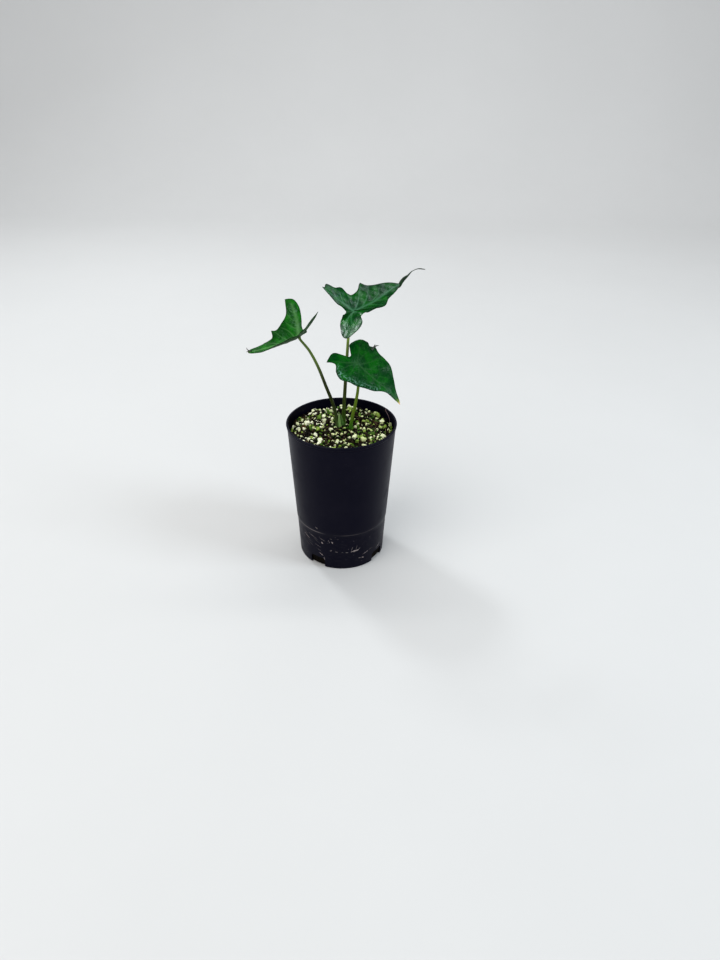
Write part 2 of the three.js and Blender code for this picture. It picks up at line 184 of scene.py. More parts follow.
def tube_points(
    path: np.ndarray, side: np.ndarray, wide: np.ndarray, thick: np.ndarray, sides: int
) -> np.ndarray:
    """Rings round a path: path + wide · cos a · side + thick · sin a · (tangent × side).

    Args:
        path: The points of the path, or of many paths.
        side: A unit vector square to the path at each of them.
        wide: Half-widths along side, for each point, and for each angle where they differ.
        thick: Half-widths square to it, in the same way.
        sides: How many angles a goes through.

    Returns:
        For each path the points of its rings, then its two end points.
    """
    over = np.cross(unit(np.gradient(path, axis=-2)), side)
    angles = np.arange(sides) / sides * 2 * np.pi
    rings = (path[..., None, :] + (wide * np.cos(angles))[..., None] * side[..., None, :]
             + (thick * np.sin(angles))[..., None] * over[..., None, :])
    rings = rings.reshape(*path.shape[:-2], -1, 3)
    return np.concatenate([rings, path[..., :1, :], path[..., -1:, :]], axis=-2)


def make_piece(
    name: str,
    points: np.ndarray,
    faces: Faces,
    attributes: dict[str, np.ndarray] | None = None,
    uv: np.ndarray | None = None,
) -> bpy.types.Object:
    """Puts a smooth mesh into the scene.

    Args:
        name: The piece's name.
        points: Its vertices, in millimetres.
        faces: Its faces, pointing outwards.
        attributes: Numbers on the vertices that its material reads.
        uv: The flat place of each vertex, for the piece's UV map.

    Returns:
        The new object, with its place in its mesh.
    """
    mesh = bpy.data.meshes.new(name)
    mesh.from_pydata((points * MM).tolist(), [], faces)
    mesh.polygons.foreach_set("use_smooth", np.ones(len(mesh.polygons), bool))
    for label, values in (attributes or {}).items():
        attribute = mesh.attributes.new(label, "FLOAT", "POINT")
        attribute.data.foreach_set("value", values.astype(np.float32))
    if uv is not None:
        corners = np.empty(len(mesh.loops), np.int32)
        mesh.loops.foreach_get("vertex_index", corners)
        mesh.uv_layers.new(name="flat").data.foreach_set("uv", uv[corners].astype(np.float32).ravel())
    mesh.update()
    piece = bpy.data.objects.new(name, mesh)
    bpy.context.scene.collection.objects.link(piece)
    return piece


def settle(piece: bpy.types.Object, finish: bpy.types.Material, slot: str, *nodes: str) -> None:
    """Gives a piece its finish, hides the nodes it stands for, and gives it its body.

    Args:
        piece: The piece.
        finish: Its material.
        slot: The record's material slot; not used.
        nodes: The nodes that it replaces.
    """
    piece.data.materials.append(finish)
    if nodes:
        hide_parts(*nodes)
    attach(piece, ROOT)
    stands_for = ", ".join(nodes) or "no node"
    LOG.info("%s: %d faces, stands for %s", piece.name, len(piece.data.polygons), stands_for)


# ---- Shader building


class Graph:
    """A node tree that is filled in by short calls."""

    def __init__(self, tree: bpy.types.NodeTree) -> None:
        """Keeps the tree to fill."""
        self.tree = tree

    def plug(self, socket: Socket, value: Value) -> None:
        """Links an input to the output that feeds it, or sets its own value.

        Args:
            socket: The input.
            value: An output, a number, a vector, or a colour, which becomes opaque.
        """
        if isinstance(value, Socket):
            self.tree.links.new(value, socket)
        else:
            socket.default_value = (*value, 1) if socket.type == "RGBA" else value

    def add(self, kind: str, values: dict[str | int, Value] | None = None, **settings: object) -> Node:
        """Adds a node.

        Args:
            kind: The node's type, such as "ShaderNodeTexNoise".
            values: For each input, by name or number, a value or the output that feeds it.
            settings: The node's own properties.

        Returns:
            The node.
        """
        node = self.tree.nodes.new(kind)
        for key, value in settings.items():
            setattr(node, key, value)
        for key, value in (values or {}).items():
            self.plug(node.inputs[key], value)
        return node

    def maths(self, operation: str, a: Value, b: Value = 0.0, clamp: bool = False) -> Socket:
        """The result of a sum on two numbers."""
        return self.add("ShaderNodeMath", {0: a, 1: b}, operation=operation, use_clamp=clamp).outputs[0]

    def product(self, *factors: Value) -> Socket:
        """Numbers multiplied together.

        Args:
            factors: Two of them or more.

        Returns:
            Their product.
        """
        total = factors[0]
        for factor in factors[1:]:
            total = self.maths("MULTIPLY", total, factor)
        return total

    def blend(self, share: Value, low: Value, high: Value) -> Socket:
        """A colour between two.

        Args:
            share: How much of the second one it holds.
            low: The first colour.
            high: The second.

        Returns:
            The mixed colour.
        """
        node = self.add("ShaderNodeMix", {0: share}, data_type="RGBA")
        self.plug(node.inputs[6], low)
        self.plug(node.inputs[7], high)
        return node.outputs[2]

    def stretch(
        self, value: Value, low: Value, high: Value, to_low: float = 0.0, to_high: float = 1.0
    ) -> Socket:
        """A number carried smoothly from one range to another, and kept within it."""
        values = {0: value, 1: low, 2: high, 3: to_low, 4: to_high}
        return self.add("ShaderNodeMapRange", values, clamp=True, interpolation_type="SMOOTHSTEP").outputs[0]

    def attribute(self, name: str) -> Socket:
        """A number painted on the vertices."""
        return self.add("ShaderNodeAttribute", attribute_name=name).outputs["Fac"]

    def place(self) -> Socket:
        """Object coordinates, in metres."""
        return self.add("ShaderNodeTexCoord").outputs["Object"]

    def scaled(self, vector: Socket, z: float) -> Socket:
        """Coordinates with their height scaled, which squeezes or draws out a pattern along Z."""
        return self.add("ShaderNodeMapping", {"Vector": vector, "Scale": (1.0, 1.0, z)}).outputs[0]

    def effect(self, kind: "Effect", vector: Socket, **values: Value) -> Node:
        """Places a shared effect with its own values.

        Args:
            kind: The effect.
            vector: The coordinates it follows.
            values: Its other inputs, whose names have underscores here for spaces.

        Returns:
            The group node.
        """
        named = {key.replace("_", " "): value for key, value in values.items()}
        return self.add("ShaderNodeGroup", {"Vector": vector, **named}, node_tree=kind.tree())

    def drift(self, vector: Socket, **values: Value) -> Node:
        """The drift between two tones, as a group node."""
        return self.effect(Effect.DRIFT, vector, **values)

    def relief(self, vector: Socket, **values: Value) -> Node:
        """The fine relief, as a group node."""
        return self.effect(Effect.RELIEF, vector, **values)

    def specks(self, vector: Socket, **values: Value) -> Socket:
        """The mask of the scattered specks."""
        return self.effect(Effect.SPECKS, vector, **values).outputs["Mask"]


class Effect(Enum):
    """The shared effects, each one node group."""

    DRIFT = "plant_tone_drift"
    RELIEF = "plant_fine_relief"
    SPECKS = "plant_specks"

    def tree(self) -> bpy.types.NodeTree:
        """The effect's node group, built the first time it is asked for."""
        makers = {Effect.DRIFT: drift_group, Effect.RELIEF: relief_group, Effect.SPECKS: specks_group}
        return bpy.data.node_groups.get(self.value) or makers[self](self.value)


def new_group(name: str, inputs: dict[str, float | str], outputs: dict[str, str]) -> tuple[Graph, Node, Node]:
    """An empty node group with its sockets.

    Args:
        name: The group's name.
        inputs: For each input its first value, or its kind where it has none.
        outputs: The kind of each output.

    Returns:
        The tree's graph, its input node and its output node.
    """
    tree = bpy.data.node_groups.new(name, "ShaderNodeTree")
    for label, given in inputs.items():
        kind = given if isinstance(given, str) else "Float"
        socket = tree.interface.new_socket(label, in_out="INPUT", socket_type=f"NodeSocket{kind}")
        if kind == "Float":
            socket.default_value = given
    for label, kind in outputs.items():
        tree.interface.new_socket(label, in_out="OUTPUT", socket_type=f"NodeSocket{kind}")
    graph = Graph(tree)
    return graph, graph.add("NodeGroupInput"), graph.add("NodeGroupOutput")


def drift_group(name: str) -> bpy.types.NodeTree:
    """Colour that drifts between two tones: soft noise, stretched from Low to High, mixes them.

    Args:
        name: The group's name.

    Returns:
        The group.
    """
    inputs = {"Vector": "Vector", "Scale": 100.0, "Low": 0.35, "High": 0.65, "Tone A": "Color",
              "Tone B": "Color"}
    graph, group_in, out = new_group(name, inputs, {"Color": "Color", "Mask": "Float"})
    given = group_in.outputs
    noise = {"Vector": given["Vector"], "Scale": given["Scale"], "Detail": 4.0, "Roughness": 0.6}
    mask = graph.stretch(graph.add("ShaderNodeTexNoise", noise).outputs[0], given["Low"], given["High"])
    graph.plug(out.inputs["Color"], graph.blend(mask, given["Tone A"], given["Tone B"]))
    graph.plug(out.inputs["Mask"], mask)
    return graph.tree


def relief_group(name: str) -> bpy.types.NodeTree:
    """A fine uneven surface: noise of a given scale drives a bump.

    Args:
        name: The group's name.

    Returns:
        The group.
    """
    inputs = {"Vector": "Vector", "Scale": 1000.0, "Strength": 0.2, "Distance": 0.0005}
    graph, group_in, out = new_group(name, inputs, {"Normal": "Vector", "Height": "Float"})
    given = group_in.outputs
    noise = {"Vector": given["Vector"], "Scale": given["Scale"], "Detail": 3.0, "Roughness": 0.55}
    height = graph.add("ShaderNodeTexNoise", noise).outputs[0]
    bump = {"Height": height, "Strength": given["Strength"], "Distance": given["Distance"]}
    graph.plug(out.inputs["Normal"], graph.add("ShaderNodeBump", bump).outputs[0])
    graph.plug(out.inputs["Height"], height)
    return graph.tree


def specks_group(name: str) -> bpy.types.NodeTree:
    """Small scattered specks: a cell pattern's distance, cut off at Size, in a share Cover of the cells.

    Args:
        name: The group's name.

    Returns:
        The group.
    """
    inputs = {"Vector": "Vector", "Scale": 400.0, "Size": 0.25, "Cover": 0.5}
    graph, group_in, out = new_group(name, inputs, {"Mask": "Float"})
    given = group_in.outputs
    cells = graph.add("ShaderNodeTexVoronoi", {"Vector": given["Vector"], "Scale": given["Scale"]}).outputs
    speck = graph.maths("LESS_THAN", cells["Distance"], given["Size"])
    chance = graph.add("ShaderNodeSeparateColor", {0: cells["Color"]}).outputs[0]
    graph.plug(out.inputs["Mask"], graph.product(speck, graph.maths("LESS_THAN", chance, given["Cover"])))
    return graph.tree


def new_material(name: str) -> tuple[bpy.types.Material, Graph]:
    """An empty material.

    Args:
        name: Its name.

    Returns:
        The material and its graph.
    """
    material = bpy.data.materials.new(name)
    material.use_nodes = True
    return material, Graph(material.node_tree)


def feed(graph: Graph, **sockets: Value) -> None:
    """Sets or links the shader's sockets, whose names have underscores here for spaces."""
    for key, value in sockets.items():
        graph.plug(graph.tree.nodes["Principled BSDF"].inputs[key.replace("_", " ")], value)


# ---- Finishes


@dataclass(frozen=True)
class LeafFinish:
    """A glossy dark leaf with paler ribs, a dark margin, painted pale sheen, a dull underside painted dark
    for shade, and tips that yellow and dry.
    """

    name: str
    deep: Colour
    bright: Colour
    rib: Colour
    # Painted sheen: a pale colour laid on in spots where the gloss catches reflections.
    painted_sheen: Colour
    margin: Colour = (0.004, 0.018, 0.006)
    # Painted shade: the underside's own paler green is laid on darker, for the shade it lies in.
    underside: Colour = (0.010, 0.055, 0.008)
    fading: Colour = (0.150, 0.220, 0.030)
    dry: Colour = (0.700, 0.460, 0.180)
    roughness: float = 0.27
    gloss: float = 0.11
    grain: float = 0.12
    under_cover: float = 0.85
    under_dulling: float = 0.22

    def build(self) -> bpy.types.Material:
        """Builds the material from the leaf's flat UV map and its painted numbers.

        Returns:
            The material.
        """
        material, graph = new_material(self.name)
        flat = graph.add("ShaderNodeUVMap", uv_map="flat").outputs[0]
        tone = graph.drift(flat, Scale=9.0, Low=0.38, High=0.66, Tone_A=self.deep, Tone_B=self.bright)
        patchy = graph.drift(flat, Scale=60.0, Low=0.44, High=0.62).outputs["Mask"]
        under, dry = graph.attribute("leaf_under"), graph.attribute("leaf_dry")
        colour = tone.outputs["Color"]
        for share, layer in (
            # Painted sheen: the pale reflection colour laid on in its spots, broken up by patchy noise.
            (graph.product(graph.attribute("leaf_painted_sheen"), patchy), self.painted_sheen),
            (graph.attribute("leaf_rib"), self.rib),
            (graph.attribute("leaf_margin"), self.margin),
            # The underside colour is painted shade over most of the lower face.
            (graph.product(under, self.under_cover), self.underside),
            (graph.stretch(dry, 0.05, 0.55), self.fading),
            (graph.stretch(dry, 0.55, 0.95), self.dry),
        ):
            colour = graph.blend(share, colour, layer)
        relief = graph.relief(flat, Scale=62.0, Strength=self.grain, Distance=0.0006).outputs
        rough = graph.stretch(relief["Height"], 0.3, 0.7, self.roughness - 0.06, self.roughness + 0.10)
        rough = graph.maths("ADD", rough, graph.product(under, self.under_dulling))
        feed(graph, Base_Color=colour, Roughness=rough, Normal=relief["Normal"],
             Specular_IOR_Level=self.gloss)
        return material


@dataclass(frozen=True)
class StalkFinish:
    """A smooth fleshy stalk whose colour changes from its foot to its top, with fine streaks and specks."""

    name: str
    foot: Colour
    middle: Colour
    top: Colour
    streak: Colour

    def build(self) -> bpy.types.Material:
        """Builds the material from the way along the stalk and long thin noise.

        Returns:
            The material.
        """
        material, graph = new_material(self.name)
        way, place = graph.attribute("stalk_way"), graph.place()
        drawn_out = graph.scaled(place, 0.07)
        streaks = graph.drift(drawn_out, Scale=900.0, Low=0.45, High=0.72).outputs["Mask"]
        specks = graph.specks(place, Scale=900.0, Size=0.3, Cover=0.3)
        colour = graph.blend(graph.stretch(way, 0.08, 0.35), self.foot, self.middle)
        colour = graph.blend(graph.stretch(way, 0.52, 0.80), colour, self.top)
        colour = graph.blend(graph.product(streaks, 0.55), colour, self.streak)
        colour = graph.blend(graph.product(specks, 0.35), colour, self.streak)
        relief = graph.relief(drawn_out, Scale=1400.0, Strength=0.22, Distance=0.0003)
        feed(graph, Base_Color=colour, Roughness=0.42, Normal=relief.outputs["Normal"],
             Specular_IOR_Level=0.35)
        return material


@dataclass(frozen=True)
class PotFinish:
    """Moulded blue-black plastic, satin, with a painted highlight along the step's edge, mostly on the left,
    and a little dust in its foot.
    """

    name: str = "nursery_pot_plastic"
    body: Colour = (0.0030, 0.0028, 0.0125)
    worn: Colour = (0.0058, 0.0052, 0.0150)
    chalk_and_highlight: Colour = (0.2000, 0.1800, 0.1800)
    step_level: float = 38.5
    step_height: float = 1.0

    def build(self) -> bpy.types.Material:
        """Builds the material: a pale painted highlight runs along the step's edge, broken up at random and
        strongest on the left where the light falls, and dust keeps below it.

        Returns:
            The material.
        """
        material, graph = new_material(self.name)
        place = graph.place()
        x, _, height = graph.add("ShaderNodeSeparateXYZ", {0: place}).outputs
        tone = graph.drift(place, Scale=60.0, Low=0.4, High=0.75, Tone_A=self.body, Tone_B=self.worn)
        level = self.step_level * MM
        edge = level + self.step_height * MM
        # Painted highlight: a thin pale line along the top edge of the step.
        line = graph.product(graph.stretch(height, edge - 0.0011, edge - 0.0004),
                             graph.stretch(height, edge + 0.0006, edge + 0.0001))
        # Breaks up the painted highlight at random and keeps it strongest on the left.
        stretches = graph.drift(place, Scale=26.0, Low=0.40, High=0.62).outputs["Mask"]
        stretches = graph.maths("MAXIMUM", graph.product(stretches, 0.30),
                                graph.stretch(x, -0.012, -0.024, 0.0, 0.85))
        below = graph.stretch(height, level + 0.0015, level - 0.002)
        dust = graph.product(graph.specks(place, Scale=420.0, Size=0.16, Cover=0.10),
                             graph.stretch(below, 0.0, 1.0, 0.05, 0.5))
        fine = graph.drift(graph.scaled(place, 9.0), Scale=240.0, Low=0.58, High=0.68).outputs["Mask"]
        # The painted step highlight, with the real dust and fine scuffs below the step.
        wear_and_step_highlight = graph.maths("MAXIMUM", graph.product(line, stretches), dust)
        wear_and_step_highlight = graph.maths("MAXIMUM", wear_and_step_highlight, graph.product(fine, below, 0.10), clamp=True)
        relief = graph.relief(place, Scale=1500.0, Strength=0.10, Distance=0.0002)
        rough = graph.stretch(tone.outputs["Mask"], 0.0, 1.0, 0.38, 0.50)
        feed(graph, Base_Color=graph.blend(wear_and_step_highlight, tone.outputs["Color"], self.chalk_and_highlight),
             Roughness=graph.maths("MAXIMUM", rough, graph.product(wear_and_step_highlight, 0.8)),
             Normal=relief.outputs["Normal"], Specular_IOR_Level=0.12)
        return material


@dataclass(frozen=True)
class GrainFinish:
    """Loose bits whose tone is painted on each of them, with a fine pitted surface."""

    name: str
    tones: tuple[tuple[float, Colour], ...]
    roughness: float
    pit_scale: float
    pit_strength: float
    soil: Colour = (0.050, 0.060, 0.015)

    def build(self) -> bpy.types.Material:
        """Builds the material: a colour ramp reads each bit's tone, and noise soils it.

        Returns:
            The material.
        """
        material, graph = new_material(self.name)
        place = graph.place()
        ramp = graph.add("ShaderNodeValToRGB", {0: graph.attribute("bit_tone")})
        stops = ramp.color_ramp.elements
        stops[0].color, stops[1].color = (*self.tones[0][1], 1), (*self.tones[-1][1], 1)
        for position, colour in self.tones[1:-1]:
            stops.new(position).color = (*colour, 1)
        soiled = graph.drift(place, Scale=650.0, Low=0.56, High=0.74).outputs["Mask"]
        colour = graph.blend(graph.product(soiled, 0.55), ramp.outputs[0], self.soil)
        relief = graph.relief(place, Scale=self.pit_scale, Strength=self.pit_strength, Distance=0.0005)
        feed(graph, Base_Color=colour, Roughness=self.roughness, Normal=relief.outputs["Normal"],
             Specular_IOR_Level=0.2)
        return material


@dataclass(frozen=True)
class EarthyFinish:
    """A dull brown surface in two drifting tones, with crumbs, or rings where it is squeezed in height."""

    name: str
    tones: tuple[Colour, Colour]
    tone_scale: float
    tone_range: Flat
    relief_scale: float
    relief_strength: float
    relief_depth: float
    roughness: float
    shine: float
    squeeze: float = 1.0

    def build(self) -> bpy.types.Material:
        """Builds the material from two noises, one for tone and one for relief.

        Returns:
            The material.
        """
        material, graph = new_material(self.name)
        place = graph.scaled(graph.place(), self.squeeze)
        tone = graph.drift(place, Scale=self.tone_scale, Low=self.tone_range[0], High=self.tone_range[1],
                           Tone_A=self.tones[0], Tone_B=self.tones[1])
        relief = graph.relief(place, Scale=self.relief_scale, Strength=self.relief_strength,
                              Distance=self.relief_depth)
        feed(graph, Base_Color=tone.outputs["Color"], Roughness=self.roughness,
             Normal=relief.outputs["Normal"], Specular_IOR_Level=self.shine)
        return material


PEAT = EarthyFinish("potting_mix_peat", ((0.0035, 0.0028, 0.0018), (0.016, 0.011, 0.006)),
                    420.0, (0.42, 0.68), 700.0, 0.9, 0.0012, roughness=0.85, shine=0.1)
CORM_SKIN = EarthyFinish("corm_skin", ((0.10, 0.055, 0.025), (0.30, 0.20, 0.11)),
                         120.0, (0.4, 0.6), 300.0, 0.6, 0.0008, roughness=0.8, shine=0.5, squeeze=6.0)
PERLITE = GrainFinish(
    "perlite",
    ((0.0, (0.88, 0.89, 0.68)), (0.28, (0.62, 0.68, 0.34)), (0.48, (0.30, 0.42, 0.08)),
     (0.70, (0.08, 0.17, 0.02)), (1.0, (0.035, 0.065, 0.012))),
    0.75, 1500.0, 0.6,
)
BARK = GrainFinish(
    "bark_chips",
    ((0.0, (0.004, 0.003, 0.002)), (0.5, (0.014, 0.009, 0.005)), (0.85, (0.050, 0.028, 0.012)),
     (1.0, (0.16, 0.10, 0.045))),
    0.8, 900.0, 0.7,
)
FIBRE = GrainFinish(
    "root_fibres",
    ((0.0, (0.06, 0.035, 0.018)), (0.5, (0.16, 0.10, 0.05)), (1.0, (0.36, 0.28, 0.17))),
    0.7, 900.0, 0.3,
)
MOSS = GrainFinish(
    "moss",
    ((0.0, (0.010, 0.040, 0.004)), (0.5, (0.045, 0.13, 0.010)), (1.0, (0.20, 0.33, 0.03))),
    0.7, 2200.0, 0.9,
)
CHALK = GrainFinish(
    "lime_flecks",
    ((0.0, (0.022, 0.022, 0.026)), (0.5, (0.110, 0.104, 0.104)), (1.0, (0.42, 0.36, 0.35))),
    0.8, 1200.0, 0.4,
)


# ---- The pot


@dataclass
class NurseryPot:
    """The tapered tub: a turned thin wall with a lip, a faint step and four notches in its foot."""

    height: float = 132.0
    rim_radius: float = 48.0
    foot_radius: float = 39.0
    wall: float = 1.2
    floor: float = 1.5
    lip_height: float = 3.0
    lip_proud: float = 0.6
    step_level: float = 38.5
    step_proud: float = 0.4
    step_height: float = 1.0
    foot_chamfer: float = 0.8
    sides: int = 288
    notch_count: int = 4
    notch_first_angle: float = -122.5
    notch_width: float = 15.0
    notch_height: float = 10.0
    notch_depth: float = 11.0
    notch_corner: float = 3.0
    hub_radius: float = 2.0
    lip_bevel: Flat = (0.25, 0.3)
    longest_stretch: float = 4.0
    sharp_angle: float = 32.0

    def outer(self, z: float) -> float:
        """Radius of the outside at a height, without lip and step."""
        return self.foot_radius + (self.rim_radius - self.lip_proud - self.foot_radius) * z / self.height

    def profile(self) -> np.ndarray:
        """The wall's outline, as [radius, height], from under the foot up and over the lip to the floor.

        Straight stretches are split so that none is too long, and the lip is rounded.

        Returns:
            The outline's points.
        """
        lip_foot = self.height - self.lip_height
        turn = np.linspace(-0.35 * np.pi, 0.5 * np.pi, 9)
        lip = [
            (self.rim_radius - self.lip_proud * (1 - np.cos(a)),
             self.height - self.lip_proud * (1 - np.sin(a)))
            for a in turn
        ]
        corners = [
            (self.hub_radius, 0.0),
            (self.foot_radius - self.foot_chamfer, 0.0),
            (self.outer(self.foot_chamfer), self.foot_chamfer),
            (self.outer(self.step_level) - self.step_proud, self.step_level),
            (self.outer(self.step_level + self.step_height), self.step_level + self.step_height),
            (self.outer(lip_foot), lip_foot),
            (self.outer(lip_foot) + self.lip_proud * 0.8, lip_foot + self.lip_proud),
            *lip,
            (self.outer(self.height) - self.wall + self.lip_bevel[0], self.height),
            (self.outer(self.height) - self.wall, self.height - self.lip_bevel[1]),
            (self.outer(self.floor) - self.wall, self.floor),
            (self.hub_radius, self.floor),
        ]
        points = np.array(corners)
        pieces = [points[:1]]
        for start, end in zip(points[:-1], points[1:]):
            steps = max(1, int(np.ceil(np.linalg.norm(end - start) / self.longest_stretch)))
            pieces.append(start + (end - start) * np.linspace(0, 1, steps + 1)[1:, None])
        return np.vstack(pieces)

    def shell(self) -> bpy.types.Object:
        """The wall turned about +Z: (r cos a, r sin a, z) for each profile point and angle.

        Returns:
            The wall, without its notches.
        """
        profile = self.profile()
        angles = np.arange(self.sides) / self.sides * 2 * np.pi
        ring = np.stack([np.cos(angles), np.sin(angles)], axis=-1)
        heights = np.broadcast_to(profile[:, None, 1:], (len(profile), self.sides, 1))
        grid = np.concatenate([profile[:, None, :1] * ring, heights], axis=-1)
        points = np.vstack([grid.reshape(-1, 3), (0, 0, 0), (0, 0, self.floor)])
        return make_piece("pot_shell", points, closed_faces(*grid.shape[:2]))

    def notch_cutter(self) -> bpy.types.Object:
        """The notches' cutter: upright slots with rounded tops, each a closed prism.

        Returns:
            The cutter.
        """
        half, corner, top = self.notch_width / 2, self.notch_corner, self.notch_height
        turn = np.linspace(0, np.pi / 2, 9)
        right = (half - corner, top - corner) + corner * np.stack([np.cos(turn), np.sin(turn)], axis=-1)
        outline = np.vstack([[(-half, -2), (half, -2)], right, right[::-1] * (-1, 1)])
        count = len(outline)
        reaches = (self.foot_radius - self.notch_depth, self.foot_radius + self.notch_depth)
        prism = np.vstack([np.column_stack([np.full(count, reach), outline]) for reach in reaches])
        ring = np.arange(count)
        beside = np.roll(ring, -1)
        sides = np.stack([ring, ring + count, beside + count, beside], axis=-1).tolist()
        faces = [ring[::-1].tolist(), (ring + count).tolist(), *[face[::-1] for face in sides]]
        angles = np.radians(self.notch_first_angle + np.arange(self.notch_count) * 360 / self.notch_count)
        turned = [
            np.column_stack([prism[:, 0] * np.cos(a) - prism[:, 1] * np.sin(a),
                             prism[:, 0] * np.sin(a) + prism[:, 1] * np.cos(a), prism[:, 2]])
            for a in angles
        ]
        shifts = range(0, 2 * count * self.notch_count, 2 * count)
        shifted = [[index + shift for index in face] for shift in shifts for face in faces]
        return make_piece("notch_cutter", np.vstack(turned), shifted)

    def build(self) -> None:
        """Cuts the notches from the wall, splits its shading at its edges and dresses it."""
        pot, cutter = self.shell(), self.notch_cutter()
        cut = pot.modifiers.new("notches", "BOOLEAN")
        cut.operation, cut.object, cut.solver = "DIFFERENCE", cutter, "EXACT"
        built = pot.evaluated_get(bpy.context.evaluated_depsgraph_get())
        mesh = bpy.data.meshes.new_from_object(built)
        pot.modifiers.clear()
        pot.data = mesh
        pot.name = "pot_wall"
        bpy.data.objects.remove(cutter)
        mesh.set_sharp_from_angle(angle=np.radians(self.sharp_angle))
        finish = PotFinish(step_level=self.step_level, step_height=self.step_height)
        settle(pot, finish.build(), "pot_plastic", "pot")
        LimeFlecks(self).build()


Fleck = tuple[Flat, Flat, float, float]


@dataclass(frozen=True)
class LimeFlecks:
    """Chalky scratches and smudges on the pot's foot, each a lens-shaped sliver on the wall.

    Each is drawn from one [angle, height] to another, with a half-width and a tone. The ones in
    front are listed one by one, and the rest of the foot gets drawn ones like them.
    """

    pot: NurseryPot
    seed: int = 21
    drawn: int = 44
    drawn_angles: Flat = (-12, 206)
    drawn_heights: Flat = (11.5, 36)
    drawn_lengths: Flat = (1.5, 11)
    drawn_halves: Flat = (0.10, 0.38)
    drawn_slope: float = 0.32
    palest_drawn: float = 0.7
    rows: int = 11
    proud: float = 0.06
    seat: float = 0.03
    by_hand: tuple[Fleck, ...] = (
        ((-146, 34), (-136, 31), 0.20, 0.60), ((-143, 22), (-134, 19), 0.19, 0.54),
        ((-126, 24.5), (-116, 22), 0.22, 0.62), ((-124, 20), (-115, 17.5), 0.19, 0.54),
        ((-137, 34.5), (-127, 31.5), 0.20, 0.62), ((-150, 27), (-143, 25), 0.19, 0.54),
        ((-144.5, 30.6), (-134, 27.4), 0.28, 1.00), ((-141, 27.5), (-131, 24.3), 0.22, 0.60),
        ((-139, 24), (-128, 20.6), 0.22, 0.54), ((-132, 33.4), (-120, 30), 0.25, 0.60),
        ((-128, 30.2), (-117, 26.6), 0.19, 0.47), ((-122.8, 44.3), (-119, 43.1), 0.50, 0.66),
        ((-115.5, 28.5), (-112.8, 27.6), 0.94, 1.00), ((-118, 33.2), (-109, 30.4), 0.40, 0.54),
        ((-106, 31), (-104.6, 33), 0.62, 0.66), ((-104.8, 29.4), (-103, 31.6), 0.56, 0.60),
        ((-101.6, 31.2), (-99.4, 30), 1.00, 0.88), ((-103, 34.2), (-100.6, 34.6), 0.44, 0.54),
        ((-119.5, 15.8), (-113, 12.9), 0.38, 0.88), ((-112.8, 11.6), (-111, 8.2), 0.69, 1.00),
        ((-104, 20.4), (-101, 21.2), 0.62, 0.62), ((-97.5, 20.2), (-93, 19.8), 0.43, 0.57),
        ((-89, 19.7), (-86, 19.6), 0.33, 0.47), ((-84, 19.4), (-79.5, 19.2), 0.50, 0.55),
        ((-77, 19.6), (-65, 20.8), 0.94, 0.79), ((-76, 21), (-74, 25), 0.88, 0.62),
        ((-70, 21), (-68, 26.5), 0.75, 0.62), ((-66.5, 21.5), (-63.5, 22.5), 0.62, 0.54),
        ((-60, 13.6), (-50.5, 16), 0.33, 0.88), ((-50, 16.2), (-44, 17.4), 0.22, 0.60),
        ((-36, 12.6), (-26, 15.8), 0.35, 0.88), ((-66, 10.8), (-62, 10.6), 0.38, 0.66),
        ((-61, 10.4), (-57.6, 9.8), 0.60, 1.00),
    )

    def flecks(self) -> np.ndarray:
        """All the flecks, the drawn ones after the listed ones.

        Returns:
            For each a row of angle and height at both ends, half-width and tone.
        """
        rng = np.random.default_rng(self.seed)
        hand = np.array([(*start, *end, half, tone) for start, end, half, tone in self.by_hand])
        angle = rng.uniform(*self.drawn_angles, self.drawn)
        height = rng.uniform(*self.drawn_heights, self.drawn)
        length = rng.uniform(*self.drawn_lengths, self.drawn)
        end = height + rng.uniform(-self.drawn_slope, self.drawn_slope, self.drawn) * length
        half = rng.uniform(*self.drawn_halves, self.drawn) * rng.random(self.drawn) ** 0.4
        tone = self.palest_drawn * rng.beta(1.3, 2.6, self.drawn)
        end = np.clip(end, self.drawn_heights[0], self.drawn_heights[1] + 1)
        drawn = np.column_stack([angle, height, angle + length, end, half, tone])
        return np.vstack([hand, drawn])

    def build(self) -> None:
        """A sliver's section is a flat diamond whose size follows a sine along its way."""
        flecks = self.flecks()
        way = np.linspace(0.03, 0.97, self.rows)
        angle = np.radians(flecks[:, :1] + (flecks[:, 2:3] - flecks[:, :1]) * way)
        height = flecks[:, 1:2] + (flecks[:, 3:4] - flecks[:, 1:2]) * way
        swell = np.sin(np.pi * way) ** 0.7 * (1 + 0.35 * np.sin(way * 17 + flecks[:, 1:2]))
        half = flecks[:, 4:5] * swell
        across = np.array([0.0, 1, 0, -1])
        proud = np.array([-1.0, 0, 1, 0]) * self.proud
        slope = (self.pot.outer(self.pot.height) - self.pot.outer(0)) / self.pot.height
        z = height[..., None] + half[..., None] * across
        sunk = np.where(z < self.pot.step_level, self.pot.step_proud * z / self.pot.step_level, 0)
        radius = self.pot.outer(0) + slope * z - sunk + self.seat + proud * swell[..., None]
        rings = np.stack([radius * np.cos(angle)[..., None], radius * np.sin(angle)[..., None], z], -1)
        ends = rings[:, [0, -1]].mean(axis=2)
        points = np.concatenate([rings.reshape(len(flecks), -1, 3), ends], axis=1)
        faces = repeated_faces(closed_faces(self.rows, len(across)), points.shape[1], len(flecks))
        tones = np.repeat(flecks[:, 5], points.shape[1])
        outwards = [face[::-1] for face in faces]
        piece = make_piece("lime_flecks", points.reshape(-1, 3), outwards, {"bit_tone": tones})
        settle(piece, CHALK.build(), "pot_plastic")


# ---- The potting mix


